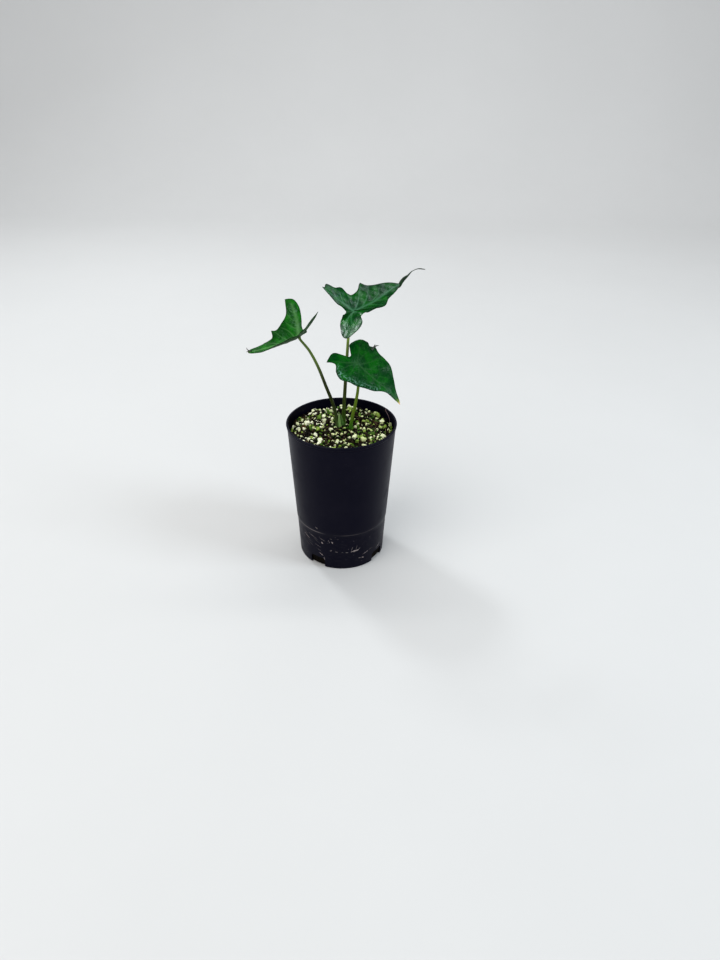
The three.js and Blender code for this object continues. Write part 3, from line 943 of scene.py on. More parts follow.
@dataclass
class PottingMix:
    """The rough bed of peat, and the perlite, bark, fibres and moss that lie in its top."""

    pot: NurseryPot
    level: float = 124.0
    bump: float = 1.1
    bottom: float = 1.8
    clearance: float = 0.3
    seed: int = 7
    clear_spots: tuple[Flat, ...] = ((1.3, 5.6), (-3.4, 5.7), (7.4, 3.0))
    bed_sides: int = 180
    bed_rings: int = 60
    bed_rows: int = 30
    bed_depth: float = 0.6
    crumb_height: float = 0.16
    crumb_waves: int = 6
    lump_grid: tuple[int, int] = (5, 8)
    lump_sharp_angle: float = 38.0
    fibre_grid: tuple[int, int] = (14, 5)
    rng: np.random.Generator = field(init=False)

    def __post_init__(self) -> None:
        """Seeds the draws."""
        self.rng = np.random.default_rng(self.seed)

    def reach(self, z: float) -> float:
        """How far out the mix goes at a height, just inside the pot."""
        return self.pot.outer(z) - self.pot.wall - self.clearance

    def top(self, x: np.ndarray, y: np.ndarray) -> np.ndarray:
        """Height of the top: a slow swell and a finer roughness, each a product of sines.

        Args:
            x: Places along X.
            y: Places along Y.

        Returns:
            The heights there.
        """
        swell = np.sin(x * 0.21 + 1.3) * np.cos(y * 0.18 - 0.4)
        rough = np.sin(x * 0.83 - y * 0.37) * np.sin(y * 0.71 + x * 0.29 + 2)
        return self.level + self.bump * (0.6 * swell + 0.4 * rough)

    def bed(self) -> None:
        """The body: rings from the bottom's middle out, up the side and in over the crumbled top."""
        angles = np.arange(self.bed_sides) / self.bed_sides * 2 * np.pi
        ring = np.stack([np.cos(angles), np.sin(angles)], axis=-1)
        heights = np.linspace(self.bottom, self.level - 2, self.bed_rows)
        side = [np.column_stack([ring * self.reach(z), np.full(self.bed_sides, z)]) for z in heights]
        radii = np.linspace(self.reach(self.level - 1), 0.8, self.bed_rings)
        flat = radii[:, None, None] * ring
        x, y = flat[..., 0], flat[..., 1]
        top = np.dstack([flat, self.top(x, y) - self.bed_depth + self.crumble(x, y)])
        rows = np.concatenate([side, top])
        points = np.vstack([rows.reshape(-1, 3), (0, 0, self.bottom), (0, 0, self.level - 0.4)])
        piece = make_piece("mix_bed", points, closed_faces(*rows.shape[:2]))
        settle(piece, PEAT.build(), "mix", "potting_mix")

    def crumble(self, x: np.ndarray, y: np.ndarray) -> np.ndarray:
        """Fine crumbs on the bed: a sum of sines in turned directions.

        Args:
            x: Places along X.
            y: Places along Y.

        Returns:
            How far the crumbs rise there.
        """
        total = np.zeros_like(x)
        for step in range(self.crumb_waves):
            angle = step * 1.1
            total += np.sin((x * np.cos(angle) + y * np.sin(angle)) * (1.6 + 0.35 * step) + step * 2.3)
        return self.crumb_height * total

    def spots(self, spacing: float, share: float, spread: float, near: float) -> np.ndarray:
        """Places for bits on the top: a triangular net with each point shifted at random.

        Args:
            spacing: Distance between neighbours in the net.
            share: Share of the points that is kept.
            spread: Largest shift each way.
            near: Distance kept from the stalks.

        Returns:
            Flat places, one row each.
        """
        reach = self.reach(self.level)
        steps = np.arange(-60, 61)
        i, j = np.meshgrid(steps, steps)
        net = np.stack([(i + 0.5 * (j % 2)) * spacing, j * spacing * 0.866], axis=-1).reshape(-1, 2)
        net = net + self.rng.uniform(-spread, spread, net.shape)
        kept = (np.linalg.norm(net, axis=1) < reach - 1.4) & (self.rng.random(len(net)) < share)
        for spot in self.clear_spots:
            kept &= np.linalg.norm(net - spot, axis=1) > near
        return net[kept]

    def lumps(
        self, name: str, spots: np.ndarray, sizes: np.ndarray, proportions: np.ndarray, tones: np.ndarray,
        finish: GrainFinish, blockiness: float, lumpiness: float, rise: float,
    ) -> None:
        """Many small closed lumps in one mesh.

        Each is a ball on a grid of latitude and longitude, squared up by raising its direction's
        parts to a power, swollen and pinched by three sine waves in random directions, scaled by
        its proportions and turned at random.

        Args:
            name: The piece's name.
            spots: Flat places, one row each.
            sizes: Each lump's half length.
            proportions: Each lump's scale in its own three directions.
            tones: Each lump's tone, from 0 to 1.
            finish: Their finish.
            blockiness: Power for the direction's parts: 1 is a ball and less is squarer.
            lumpiness: How strong the waves are.
            rise: How far a lump's middle stands over the bed, as a share of its size.
        """
        (rows, columns), count = self.lump_grid, len(spots)
        polar = (np.arange(rows) + 1) / (rows + 1) * np.pi
        around = np.arange(columns) / columns * 2 * np.pi
        ball = np.stack([
            np.sin(polar)[:, None] * np.cos(around), np.sin(polar)[:, None] * np.sin(around),
            np.broadcast_to(-np.cos(polar)[:, None], (rows, columns)),
        ], axis=-1).reshape(-1, 3)
        ball = np.vstack([ball, [(0, 0, -1), (0, 0, 1)]])
        waves = self.rng.normal(0, 2.2, (count, 3, 3))
        phases = self.rng.uniform(0, 2 * np.pi, (count, 3))
        swell = 1 + lumpiness * np.sin(np.einsum("vk,gwk->gvw", ball, waves) + phases[:, None]).sum(-1) / 2
        squared = np.sign(ball) * np.abs(ball) ** blockiness
        shapes = squared[None] * swell[..., None] * (sizes[:, None] * proportions)[:, None]
        spins = self.rotations(count)
        shapes = np.einsum("gij,gvj->gvi", spins, shapes)
        heights = self.top(spots[:, 0], spots[:, 1]) + sizes * rise
        shapes = shapes + np.column_stack([spots, heights])[:, None]
        edge = self.reach(self.level) - 0.2
        out = np.linalg.norm(shapes[..., :2], axis=-1, keepdims=True)
        shapes[..., :2] *= np.minimum(1, edge / np.maximum(out, 1e-6))
        faces = repeated_faces(closed_faces(rows, columns), len(ball), count)
        piece = make_piece(name, shapes.reshape(-1, 3), faces, {"bit_tone": np.repeat(tones, len(ball))})
        piece.data.set_sharp_from_angle(angle=np.radians(self.lump_sharp_angle))
        settle(piece, finish.build(), "mix")

    def rotations(self, count: int) -> np.ndarray:
        """Random turns from random unit quaternions.

        Args:
            count: How many.

        Returns:
            A rotation matrix for each.
        """
        w, x, y, z = unit(self.rng.normal(size=(count, 4))).T
        return np.stack([
            np.stack([1 - 2 * (y * y + z * z), 2 * (x * y - z * w), 2 * (x * z + y * w)], -1),
            np.stack([2 * (x * y + z * w), 1 - 2 * (x * x + z * z), 2 * (y * z - x * w)], -1),
            np.stack([2 * (x * z - y * w), 2 * (y * z + x * w), 1 - 2 * (x * x + y * y)], -1),
        ], axis=1)

    def perlite(self) -> None:
        """Large and small perlite, from white to green with algae."""
        spots = np.vstack([
            self.spots(spacing=3.7, share=0.54, spread=1.5, near=4.2),
            self.spots(spacing=2.9, share=0.24, spread=1.2, near=3.4),
        ])
        sizes = np.clip(self.rng.lognormal(np.log(1.38), 0.33, len(spots)), 0.6, 2.6)
        proportions = self.rng.uniform(0.45, 1.05, (len(spots), 3))
        green = 0.16 * np.exp(-((np.linalg.norm(spots - (-2, -8), axis=1) / 24) ** 2))
        sided = 0.14 * np.tanh((spots[:, 0] + 6) / 18)
        tones = np.clip(self.rng.beta(0.75, 1.35, len(spots)) + green + sided - 0.06, 0, 1)
        self.lumps("perlite_grains", spots, sizes, proportions, tones, PERLITE,
                   blockiness=0.75, lumpiness=0.30, rise=0.35)

    def bark(self) -> None:
        """Dark chips of bark and lumps of peat."""
        spots = self.spots(spacing=2.9, share=0.72, spread=1.4, near=3.0)
        sizes = np.clip(self.rng.lognormal(np.log(1.7), 0.3, len(spots)), 0.8, 3.0)
        ranges = ((0.8, 1.1), (0.4, 0.7), (0.25, 0.5))
        proportions = np.column_stack([self.rng.uniform(*pair, len(spots)) for pair in ranges])
        tones = self.rng.beta(1.2, 2.0, len(spots))
        self.lumps("bark_chips", spots, sizes, proportions, tones, BARK, blockiness=0.6, lumpiness=0.2,
                   rise=0.12)

    def moss(self) -> None:
        """Small bright green tufts, mostly round the stalks."""
        near = [(4.5, 1.5), (5.8, 0.4), (9.6, 1.6), (-1.2, 3.2), (-6.4, 4.2), (3.0, 9.6), (10.5, 4.5),
                (0.6, 2.2)]
        spots = np.vstack([near, self.spots(spacing=5.5, share=0.42, spread=2.6, near=3.4)])
        sizes = self.rng.uniform(0.7, 1.5, len(spots))
        proportions = self.rng.uniform(0.7, 1.0, (len(spots), 3))
        tones = self.rng.random(len(spots))
        self.lumps("moss_tufts", spots, sizes, proportions, tones, MOSS, blockiness=0.95, lumpiness=0.45,
                   rise=0.45)

    def fibres(self) -> None:
        """Fine root fibres: arcs whose rise is a sine, lying over the grains."""
        spots = self.spots(spacing=6.0, share=0.75, spread=2.5, near=4.0)
        spots = spots[np.linalg.norm(spots, axis=1) < self.reach(self.level) - 6]
        (rows, sides), count = self.fibre_grid, len(spots)
        way = np.linspace(-1, 1, rows)
        heading = self.rng.uniform(0, 2 * np.pi, count)
        half = self.rng.uniform(2.0, 5.5, count)
        bend = self.rng.uniform(-0.5, 0.5, count)
        lift = self.rng.uniform(0.2, 1.3, count)
        ahead = np.stack([np.cos(heading), np.sin(heading)], -1)
        beside = np.stack([-ahead[:, 1], ahead[:, 0]], -1)
        flat = (spots[:, None] + ahead[:, None] * (half[:, None] * way)[..., None]
                + beside[:, None] * (half[:, None] * bend[:, None] * way**2)[..., None])
        heights = self.top(flat[..., 0], flat[..., 1]) + 0.6 + lift[:, None] * (1 - way**2) * 0.9
        path = np.concatenate([flat, heights[..., None]], axis=-1)
        side = unit(np.cross(np.gradient(path, axis=1), (0, 0, 1)))
        radius = (self.rng.uniform(0.10, 0.22, count)[:, None] * (1 - 0.7 * way**2))[..., None]
        points = tube_points(path, side, radius, radius, sides)
        faces = repeated_faces(closed_faces(rows, sides), points.shape[1], count)
        tones = np.repeat(self.rng.random(count), points.shape[1])
        piece = make_piece("root_fibres", points.reshape(-1, 3), faces, {"bit_tone": tones})
        settle(piece, FIBRE.build(), "mix")

    def build(self) -> None:
        """Builds the bed and all that lies in it."""
        self.bed()
        self.perlite()
        self.bark()
        self.moss()
        self.fibres()


# ---- The leaves


@dataclass(frozen=True)
class Rib:
    """A rib of a blade, drawn flat, with its half-widths and how clearly it shows at its ends."""

    route: tuple[Flat, ...]
    widths: Flat = (0.9, 0.35)
    show: Flat = (1.0, 0.4)
    relief: float = 0.12

    def line(self) -> np.ndarray:
        """The rib's flat line, split finely."""
        return smooth_route(self.route, 24, centripetal=False)


@dataclass
class Blade:
    """A blade: a flat arrow-shaped outline, folded about its midrib, with lobes, ribs and a thin edge.

    The upper face at a flat point (s, t) is hub + s·along + t·across + lift·out. The lift is the
    sum of a fold that grows with |t|, a rise of the lobe behind a slanted line, less a droop of
    the lobe and an arch of the tip, and waves that grow towards the margin.
    """

    name: str
    node: str
    hub: Point
    heading: float
    pitch: float
    roll: float
    fold: Flat
    lobe_rise: Flat
    lobe_droop: Flat
    arch: float
    ripple: float
    margin: tuple[tuple[Flat, ...], ...]
    ribs: tuple[Rib, ...]
    finish: LeafFinish
    # Spots of painted sheen, each a centre, a reach and a strength.
    painted_sheen_spots: tuple[tuple[Flat, float, float], ...] = ()
    dry_spots: tuple[tuple[Flat, float, float], ...] = ()
    tip_opening: float = 0.0
    curls: tuple[tuple[float, float, float, float], ...] = ()
    tip_from: float = 20.0
    tip_span: float = 16.0
    curl_softness: float = 12.0
    hub_glow: float = 2.2
    hub_show: float = 0.9
    thickness: float = 0.6
    edge_share: float = 0.45
    edge_power: int = 8
    rim_reach: float = 0.18
    rib_fade: float = 0.12
    rib_lowering: float = 0.6
    rib_over: float = 0.6
    rib_under: float = 2.2
    quilt_height: float = 0.10
    quilt_fade: float = 0.12
    margin_width: float = 0.55
    margin_show: float = 0.8
    rings: int = 64
    margin_step: float = 0.55
    ripples: int = 9
    fold_rounding: float = 2.5
    ramp_rounding: float = 3.0
    lobe_slant: float = 0.32
    lobe_angle: float = 60.0
    droop_spread: float = 60.0

    def axes(self) -> np.ndarray:
        """The leaf's own frame: heading about Z, then pitch about its Y, then roll about its X.

        Returns:
            Along, across and out, as rows.
        """
        turn = (
            Matrix.Rotation(np.radians(self.heading), 3, "Z")
            @ Matrix.Rotation(np.radians(-self.pitch), 3, "Y")
            @ Matrix.Rotation(np.radians(self.roll), 3, "X")
        )
        return np.array(turn).T

    def edge(self) -> np.ndarray:
        """The margin: a smooth curve through each stretch, with its corners kept.

        Returns:
            Its flat points.
        """
        runs = []
        for stretch in self.margin:
            length = route_length(smooth_route(stretch, 64, centripetal=False))
            steps = max(2, round(length / self.margin_step))
            runs.append(smooth_route(stretch, steps, centripetal=False)[:-1])
        return np.vstack(runs)

    def lift(self, flat: np.ndarray) -> np.ndarray:
        """How far the blade rises over its flat plane, by the formula above.

        Args:
            flat: Flat points.

        Returns:
            The rise at each.
        """
        along, across = flat[..., 0], flat[..., 1]
        sided = (self.fold, self.lobe_rise, self.lobe_droop)
        fold, rise, droop = (np.where(across > 0, *pair) for pair in sided)
        opened = 1 - self.tip_opening * smooth_step((along - self.tip_from) / self.tip_span)
        fold = fold * opened * (np.hypot(across, self.fold_rounding) - self.fold_rounding)
        ramp = self.lobe_slant * np.abs(across) - along
        rise = rise * (ramp + np.hypot(ramp, self.ramp_rounding) - self.ramp_rounding) / 2
        angle = np.degrees(np.arctan2(np.abs(across), along))
        reach = np.hypot(along, across) / 10
        droop = droop * smooth_step((angle - self.lobe_angle) / self.droop_spread) * reach**2
        return fold + rise - droop - self.arch * (np.maximum(along, 0) / 10) ** 2

    def curl(self, way: np.ndarray, angle: np.ndarray) -> np.ndarray:
        """How far the margin is rolled down: a depth times the square of how near the margin is.

        Args:
            way: How far out points are, from the hub at 0 to the margin at 1.
            angle: Their flat angles in degrees; each curl keeps to its own range, with soft ends.

        Returns:
            The depth at each.
        """
        total = np.zeros(np.broadcast(way, angle).shape)
        for start, end, depth, share in self.curls:
            rising, falling = (angle - start) / self.curl_softness, (end - angle) / self.curl_softness
            within = smooth_step(rising) * smooth_step(falling)
            total = total + depth * within * np.clip((way - 1 + share) / share, 0, 1) ** 2
        return total

    def rib_fields(self, flat: np.ndarray) -> tuple[np.ndarray, np.ndarray]:
        """How clearly a rib shows at each flat point, and how high the ribs stand there.

        Each rib adds a bell curve of the distance to it, whose width and strength run evenly
        from its foot to its end. The strongest one counts.

        Args:
            flat: Flat points, one row each.

        Returns:
            How clearly and how high, for each.
        """
        shown = np.exp(-((np.linalg.norm(flat, axis=1) / self.hub_glow) ** 2)) * self.hub_show
        height = np.zeros(len(flat))
        for rib in self.ribs:
            gap, way = distance_to_line(flat, rib.line())
            width = rib.widths[0] + (rib.widths[1] - rib.widths[0]) * way
            bell = np.exp(-((gap / width) ** 2))
            fade = smooth_step((1 - way) / self.rib_fade)
            shown = np.maximum(shown, bell * (rib.show[0] + (rib.show[1] - rib.show[0]) * way))
            height = np.maximum(height, bell * rib.relief * fade * (1 - self.rib_lowering * way))
        return shown, height

    def quilt(self, flat: np.ndarray, height: np.ndarray) -> np.ndarray:
        """Tissue that swells between the ribs: slow waves, flattened where a rib runs."""
        waves = np.sin(flat[:, 0] * 0.85 + np.abs(flat[:, 1]) * 0.6) * np.sin(flat[:, 1] * 0.7 + 1.1)
        return self.quilt_height * waves * (1 - np.clip(height / self.quilt_fade, 0, 1))

    def faces_and_points(self) -> tuple[np.ndarray, np.ndarray, dict[str, np.ndarray], Faces]:
        """Works out the whole blade.

        Rows run from the hub's underside out to the margin, round the thin edge and back over
        the upper face to the hub. A row's flat points are the margin's times the way out.

        Returns:
            The points, their flat places, the numbers painted on them, and the faces.
        """
        edge = self.edge()
        way = np.linspace(0, 1, self.rings + 1)[1:]
        flat = way[:, None, None] * edge
        shape = flat.shape[:2]
        angle = np.arctan2(edge[:, 1], edge[:, 0])
        wave = self.ripple * way[:, None] ** 3 * np.sin(self.ripples * angle)
        along, across, out = self.axes()
        lift = self.lift(flat) + wave - self.curl(way[:, None], np.degrees(angle))
        base = self.hub + flat[..., :1] * along + flat[..., 1:] * across + lift[..., None] * out
        from_hub = np.concatenate([np.broadcast_to(self.hub, (1, len(edge), 3)), base])
        outwards = np.gradient(from_hub, axis=0)[1:]
        round_it = (np.roll(base, -1, axis=1) - np.roll(base, 1, axis=1)) / 2
        normal = unit(np.cross(outwards, round_it))
        shown, height = self.rib_fields(flat.reshape(-1, 2))
        quilt = self.quilt(flat.reshape(-1, 2), height).reshape(shape)
        shown, height = shown.reshape(shape), height.reshape(shape)
        rounding = np.sqrt(np.clip(1 - way**self.edge_power, 0, 1))
        thin = self.thickness * (self.edge_share + (1 - self.edge_share) * rounding)[:, None]
        upper = base + (quilt - height * self.rib_over)[..., None] * normal
        lower = base + (quilt - thin - height * self.rib_under)[..., None] * normal
        rim = (upper[-1] + lower[-1]) / 2 + unit(outwards[-1]) * self.thickness * self.rim_reach
        rows = np.concatenate([lower, rim[None], upper[::-1]])
        ends = np.array([np.array(self.hub) - out * self.thickness, self.hub])
        points = np.vstack([rows.reshape(-1, 3), ends])
        doubled = np.concatenate([flat, flat[-1:], flat[::-1]]).reshape(-1, 2)
        flat_all = np.vstack([doubled, np.zeros((2, 2))])
        rib_all = np.concatenate([shown, shown[-1:], shown[::-1]]).ravel()
        under = np.concatenate([np.ones(shape), np.full((1, len(edge)), 0.5), np.zeros(shape)]).ravel()
        gap = distance_to_line(flat_all, np.vstack([edge[::3], edge[:1]]))[0]
        numbers = {
            "leaf_rib": np.append(rib_all, [self.hub_show] * 2),
            "leaf_under": np.append(under, [1.0, 0.0]),
            "leaf_margin": np.exp(-((gap / self.margin_width) ** 2)) * self.margin_show,
            # Strength of the painted sheen, a pale painted reflection.
            "leaf_painted_sheen": self.spread(flat_all, self.painted_sheen_spots),
            "leaf_dry": self.spread(flat_all, self.dry_spots),
        }
        return points, flat_all, numbers, closed_faces(*rows.shape[:2])

    @staticmethod
    def spread(flat: np.ndarray, spots: tuple[tuple[Flat, float, float], ...]) -> np.ndarray:
        """Strength of soft round spots: bell curves of the distance, of which the strongest counts.

        Args:
            flat: Flat points, one row each.
            spots: A centre, a reach and a strength for each spot.

        Returns:
            The strength at each point.
        """
        total = np.zeros(len(flat))
        for centre, reach, strength in spots:
            gap = np.linalg.norm(flat - centre, axis=1)
            total = np.maximum(total, strength * np.exp(-((gap / reach) ** 2)))
        return total

    def build(self) -> None:
        """Makes the blade's mesh and dresses it."""
        points, flat, numbers, faces = self.faces_and_points()
        piece = make_piece(self.name, points, faces, numbers, flat / 100 + 0.5)
        settle(piece, self.finish.build(), "leaf", self.node)


# Each leaf's painted sheen colour below is a pale painted reflection.
TALL_LEAF = LeafFinish(
    "tall_leaf", deep=(0.0006, 0.042, 0.008), bright=(0.003, 0.115, 0.005), rib=(0.070, 0.20, 0.105),
    painted_sheen=(0.018, 0.080, 0.052), gloss=0.14, grain=0.07,
)
LEFT_LEAF = LeafFinish(
    "left_leaf", deep=(0.0015, 0.056, 0.003), bright=(0.012, 0.155, 0.007), rib=(0.12, 0.28, 0.10),
    painted_sheen=(0.110, 0.240, 0.140), fading=(0.050, 0.105, 0.020), dry=(0.080, 0.110, 0.035), gloss=0.11,
    grain=0.14,
)
FRONT_LEAF = LeafFinish(
    "front_leaf", deep=(0.0006, 0.050, 0.008), bright=(0.004, 0.115, 0.006), rib=(0.032, 0.115, 0.036),
    painted_sheen=(0.170, 0.340, 0.270), gloss=0.10, grain=0.26,
)


def tall_blade() -> Blade:
    """The tallest blade, side on, with its tip drawn out into a tendril.

    Returns:
        The blade.
    """
    return Blade(
        "blade_tall_skin", "blade_tall", hub=(10, 2, 230.2), heading=35, pitch=10, roll=26,
        fold=(0.67, 0.67), lobe_rise=(0, -0.28), lobe_droop=(0, 0.3), arch=0, ripple=0.4,
        margin=(
            ((50, 5), (43, 8), (36, 10), (28, 11.3), (20.4, 13.2), (15.4, 16)),
            ((15.4, 16), (10.6, 12), (5, 11), (1, 13), (-1.5, 17.5), (-6, 19.6), (-10, 22.4), (-12.4, 23.6),
             (-13.9, 23.1)),
            ((-13.9, 23.1), (-14.9, 21.9), (-17, 22.7)),
            ((-17, 22.7), (-14, 16), (-11, 9.5), (-8, 6.2), (-6.2, 2.6), (-8, 0.6), (-12.2, -0.4),
             (-15.4, -3.7), (-18.4, -8.3), (-22.2, -14.9), (-23.6, -20.3), (-21.8, -22.8), (-17, -22.6),
             (-10, -21.2), (-5, -17.2), (-1.5, -11), (1, -9), (9, -8.9), (14.8, -9.2)),
            ((14.8, -9.2), (18.2, -11.1), (22, -10.8), (27, -7.2), (32, -3), (38, -0.4), (45, 2.2), (50, 5)),
        ),
        ribs=(
            Rib(((0, 0), (11, 0.3), (21, 0.9), (33, 2.9), (42, 4.6), (50, 5)), (1.0, 0.5), (0.85, 0.6), 0.16),
            Rib(((0, 0), (-4.4, 7.1), (-8.4, 11.7), (-12.8, 17.3), (-15.8, 21.4)), (1.1, 0.4), (0.9, 0.4),
                0.14),
            Rib(((1, 0.4), (7, 4.9), (10.4, 8.9), (15.2, 15.2)), (0.8, 0.35), (0.7, 0.35)),
            Rib(((8, 0.3), (14.4, 4.1), (18.4, 7.3), (21.5, 12)), (0.7, 0.3), (0.6, 0.3)),
            Rib(((17, 0.8), (26.8, 4.7), (31.5, 9.6)), (0.6, 0.3), (0.5, 0.25)),
            Rib(((27, 2), (35, 5), (39.5, 8)), (0.5, 0.3), (0.45, 0.25)),
            Rib(((-1, 1.5), (-1, 6), (1.5, 11.2)), (0.6, 0.3), (0.5, 0.2)),
            Rib(((-5, 7.8), (-4.5, 12), (-4, 17)), (0.6, 0.3), (0.45, 0.2)),
            Rib(((-9.5, 13), (-9, 17), (-8, 20)), (0.5, 0.3), (0.4, 0.2)),
            Rib(((0, 0), (-7.8, -3.1), (-12.6, -6.1), (-17.2, -12), (-20.5, -19)), (1.0, 0.4), (0.75, 0.35),
                0.14),
            Rib(((-3, -1.4), (-9, -9), (-12, -18)), (0.8, 0.35), (0.55, 0.25)),
            Rib(((-10, -4.7), (-15, -12), (-17.2, -20)), (0.6, 0.3), (0.45, 0.2)),
            Rib(((0, 0), (0.5, -4), (2, -8)), (0.6, 0.3), (0.5, 0.25)),
            Rib(((6, 0.2), (11, -4), (14.6, -7)), (0.6, 0.3), (0.5, 0.25)),
            Rib(((14, 0.5), (19, -4), (22.5, -9)), (0.6, 0.3), (0.5, 0.25)),
            Rib(((22, 1), (27, -1.5), (31, -2.6)), (0.5, 0.3), (0.4, 0.2)),
        ),
        finish=TALL_LEAF,
        # Painted sheen on the upper lobe and by the hub, and a painted highlight on the hanging lobe.
        painted_sheen_spots=(((-6, 13), 7.5, 0.85), ((-10, 18), 6, 0.6), ((4, 5), 6, 0.45), ((-13, -13), 8, 0.4)),
        dry_spots=(((50, 5), 0.8, 1),),
        curls=((-60, -3, 1.2, 0.2), (100, 118, 0.8, 0.15)),
    )


def left_blade() -> Blade:
    """The left blade, folded up about its midrib, tip to the left.

    Returns:
        The blade.
    """
    return Blade(
        "blade_left_skin", "blade_left", hub=(-34.4, 0, 209.2), heading=207, pitch=-14, roll=0,
        fold=(0.78, 0.65), lobe_rise=(0.57, 0.1), lobe_droop=(0, 0), arch=-0.24, ripple=0.35,
        margin=(
            ((44, 0), (41.5, 2.8), (38, 4.4), (32, 5.8), (26, 7), (20, 8.8)),
            ((20, 8.8), (15, 11.1), (9, 11.6), (3, 11.4), (-3, 11), (-9, 11.6), (-16.7, 13.2)),
            ((-16.7, 13.2), (-14, 7.5), (-9.5, 2.5), (-6.2, -2), (-6.2, -6), (-9, -11), (-11.5, -16),
             (-13.3, -22), (-12, -28), (-6, -31.2)),
            ((-6, -31.2), (-4, -27), (-1, -21.5), (4, -17.2), (10, -14), (14, -12.2), (17.6, -12.8)),
            ((17.6, -12.8), (19.5, -7.6), (24, -6.4), (29, -6.4), (35, -6.0), (40, -4.6), (43, -2.4),
             (44, 0)),
        ),
        ribs=(
            Rib(((0, 0), (15, 0), (30, 0), (44, 0)), (0.9, 0.4), (0.9, 0.6), 0.16),
            Rib(((0, 0), (-2.2, -5.5), (-5, -11.3), (-7, -17.5), (-8.6, -25)), (2.0, 1.2), (0.75, 0.45),
                0.14),
            Rib(((0, 0), (-6, 3.5), (-12, 8), (-15.8, 12)), (0.8, 0.35), (0.8, 0.4), 0.14),
            Rib(((3, 0), (5, -8), (9, -13)), (0.7, 0.3), (0.5, 0.25)),
            Rib(((9, 0), (13, -6), (15.5, -11)), (0.7, 0.3), (0.5, 0.25)),
            Rib(((17, 0), (22, -3), (26, -5.3)), (0.6, 0.3), (0.45, 0.2)),
            Rib(((-2.4, -6), (2, -12), (3.5, -16)), (0.7, 0.3), (0.45, 0.2)),
            Rib(((-5, -11.3), (-2, -16), (-1.5, -20.5)), (0.6, 0.3), (0.4, 0.2)),
            Rib(((-7, -17.5), (-5, -21), (-4.6, -26)), (0.6, 0.3), (0.4, 0.2)),
            Rib(((3, 0), (6, 6), (8, 10.8)), (0.7, 0.3), (0.5, 0.25)),
            Rib(((10, 0), (15, 5), (19, 8.6)), (0.7, 0.3), (0.5, 0.25)),
            Rib(((20, 0), (26, 3.5), (30, 5.5)), (0.6, 0.3), (0.45, 0.2)),
            Rib(((-5.5, 3.2), (-5, 7.5), (-4.5, 10.6)), (0.6, 0.3), (0.4, 0.2)),
        ),
        finish=LEFT_LEAF,
        # Painted pale sheen on the back lobe and near the midrib.
        painted_sheen_spots=(((-4, -10), 5, 0.6), ((-7, -20), 5, 0.55), ((12, -5), 5, 0.3)),
        dry_spots=(((44, 0), 1.2, 1),),
        tip_opening=0.9,
    )


def front_blade() -> Blade:
    """The front blade, facing out and down, with a drip tip.

    Returns:
        The blade.
    """
    return Blade(
        "blade_front_skin", "blade_front", hub=(12.9, -12, 191.8), heading=-26, pitch=-35, roll=20,
        fold=(0, 0), lobe_rise=(0, 0), lobe_droop=(0.15, 0.15), arch=0.15, ripple=0.5,
        margin=(
            ((48.5, 1.8), (45, 4.2), (38, 8), (29, 15.8), (21, 21), (12, 22.6), (5, 23), (1, 24.4)),
            ((1, 24.4), (-3, 21.5), (-7, 24), (-12, 21.5), (-15, 14), (-15, 8.5), (-11.5, 5), (-7.5, 0.3),
             (-12, -3.4), (-17.5, -7), (-19, -11.5), (-17, -19)),
            ((-17, -19), (-13.5, -15.8), (-10, -14.8), (-6, -19.5), (1, -21), (8, -17.6), (16, -13.5),
             (24, -8), (31, -1.8), (36, 0.6), (42, 1.1), (48.5, 1.8)),
        ),
        ribs=(
            Rib(((0, 0), (12, 0.2), (24, 1.2), (36, 3.2), (48.5, 1.8)), (0.85, 0.45), (0.9, 0.6), 0.15),
            Rib(((0, 0), (-4.5, 8), (-9, 15), (-11.5, 19.5)), (0.8, 0.35), (0.75, 0.3), 0.13),
            Rib(((0, 0), (-5.5, -6.5), (-11, -11.5), (-15.5, -16.5)), (0.8, 0.35), (0.75, 0.3), 0.13),
            Rib(((0, 0), (-1, 10), (0, 21)), (0.7, 0.3), (0.65, 0.2)),
            Rib(((2, 0), (7, 10), (9, 20.5)), (0.7, 0.3), (0.65, 0.2)),
            Rib(((7, 0.1), (15, 9), (20, 18)), (0.7, 0.3), (0.6, 0.2)),
            Rib(((14, 0.4), (23, 8), (29, 14)), (0.6, 0.3), (0.5, 0.2)),
            Rib(((23, 1.1), (31, 6), (36, 9)), (0.5, 0.3), (0.45, 0.2)),
            Rib(((0, 0), (-8, 6.5), (-13, 12)), (0.5, 0.3), (0.4, 0.15)),
            Rib(((0, 0), (-10, -4.5), (-16, -8)), (0.5, 0.3), (0.5, 0.2)),
            Rib(((0, 0), (-3, -9), (-5, -17)), (0.7, 0.3), (0.6, 0.2)),
            Rib(((0, 0), (2, -9), (3, -18.5)), (0.7, 0.3), (0.65, 0.2)),
            Rib(((2, 0), (8, -7), (11.5, -14)), (0.7, 0.3), (0.6, 0.2)),
            Rib(((8, 0.1), (15, -4.5), (19.5, -9.5)), (0.6, 0.3), (0.5, 0.2)),
            Rib(((17, 0.6), (23, -2.5), (27.5, -4.6)), (0.5, 0.3), (0.4, 0.15)),
        ),
        finish=FRONT_LEAF,
        # Painted glints of pale sheen along the curled lower margin, and a little at the hub.
        painted_sheen_spots=(((0, 0), 4, 0.3), ((-8, -15.5), 3, 0.5), ((-3, -19), 3, 0.9), ((2, -19.4), 3, 1),
                ((7, -17), 3, 1), ((12, -14.6), 3, 1), ((17, -12), 3, 1), ((22, -8.6), 2.6, 1),
                ((27, -4.6), 2.6, 0.9), ((34, 0.2), 3.5, 0.5)),
        dry_spots=(((48.5, 1.8), 4.2, 1),),
        curls=((-132, -3, 1.7, 0.17), (100, 150, 0.7, 0.12)),
        hub_glow=2.8,
    )


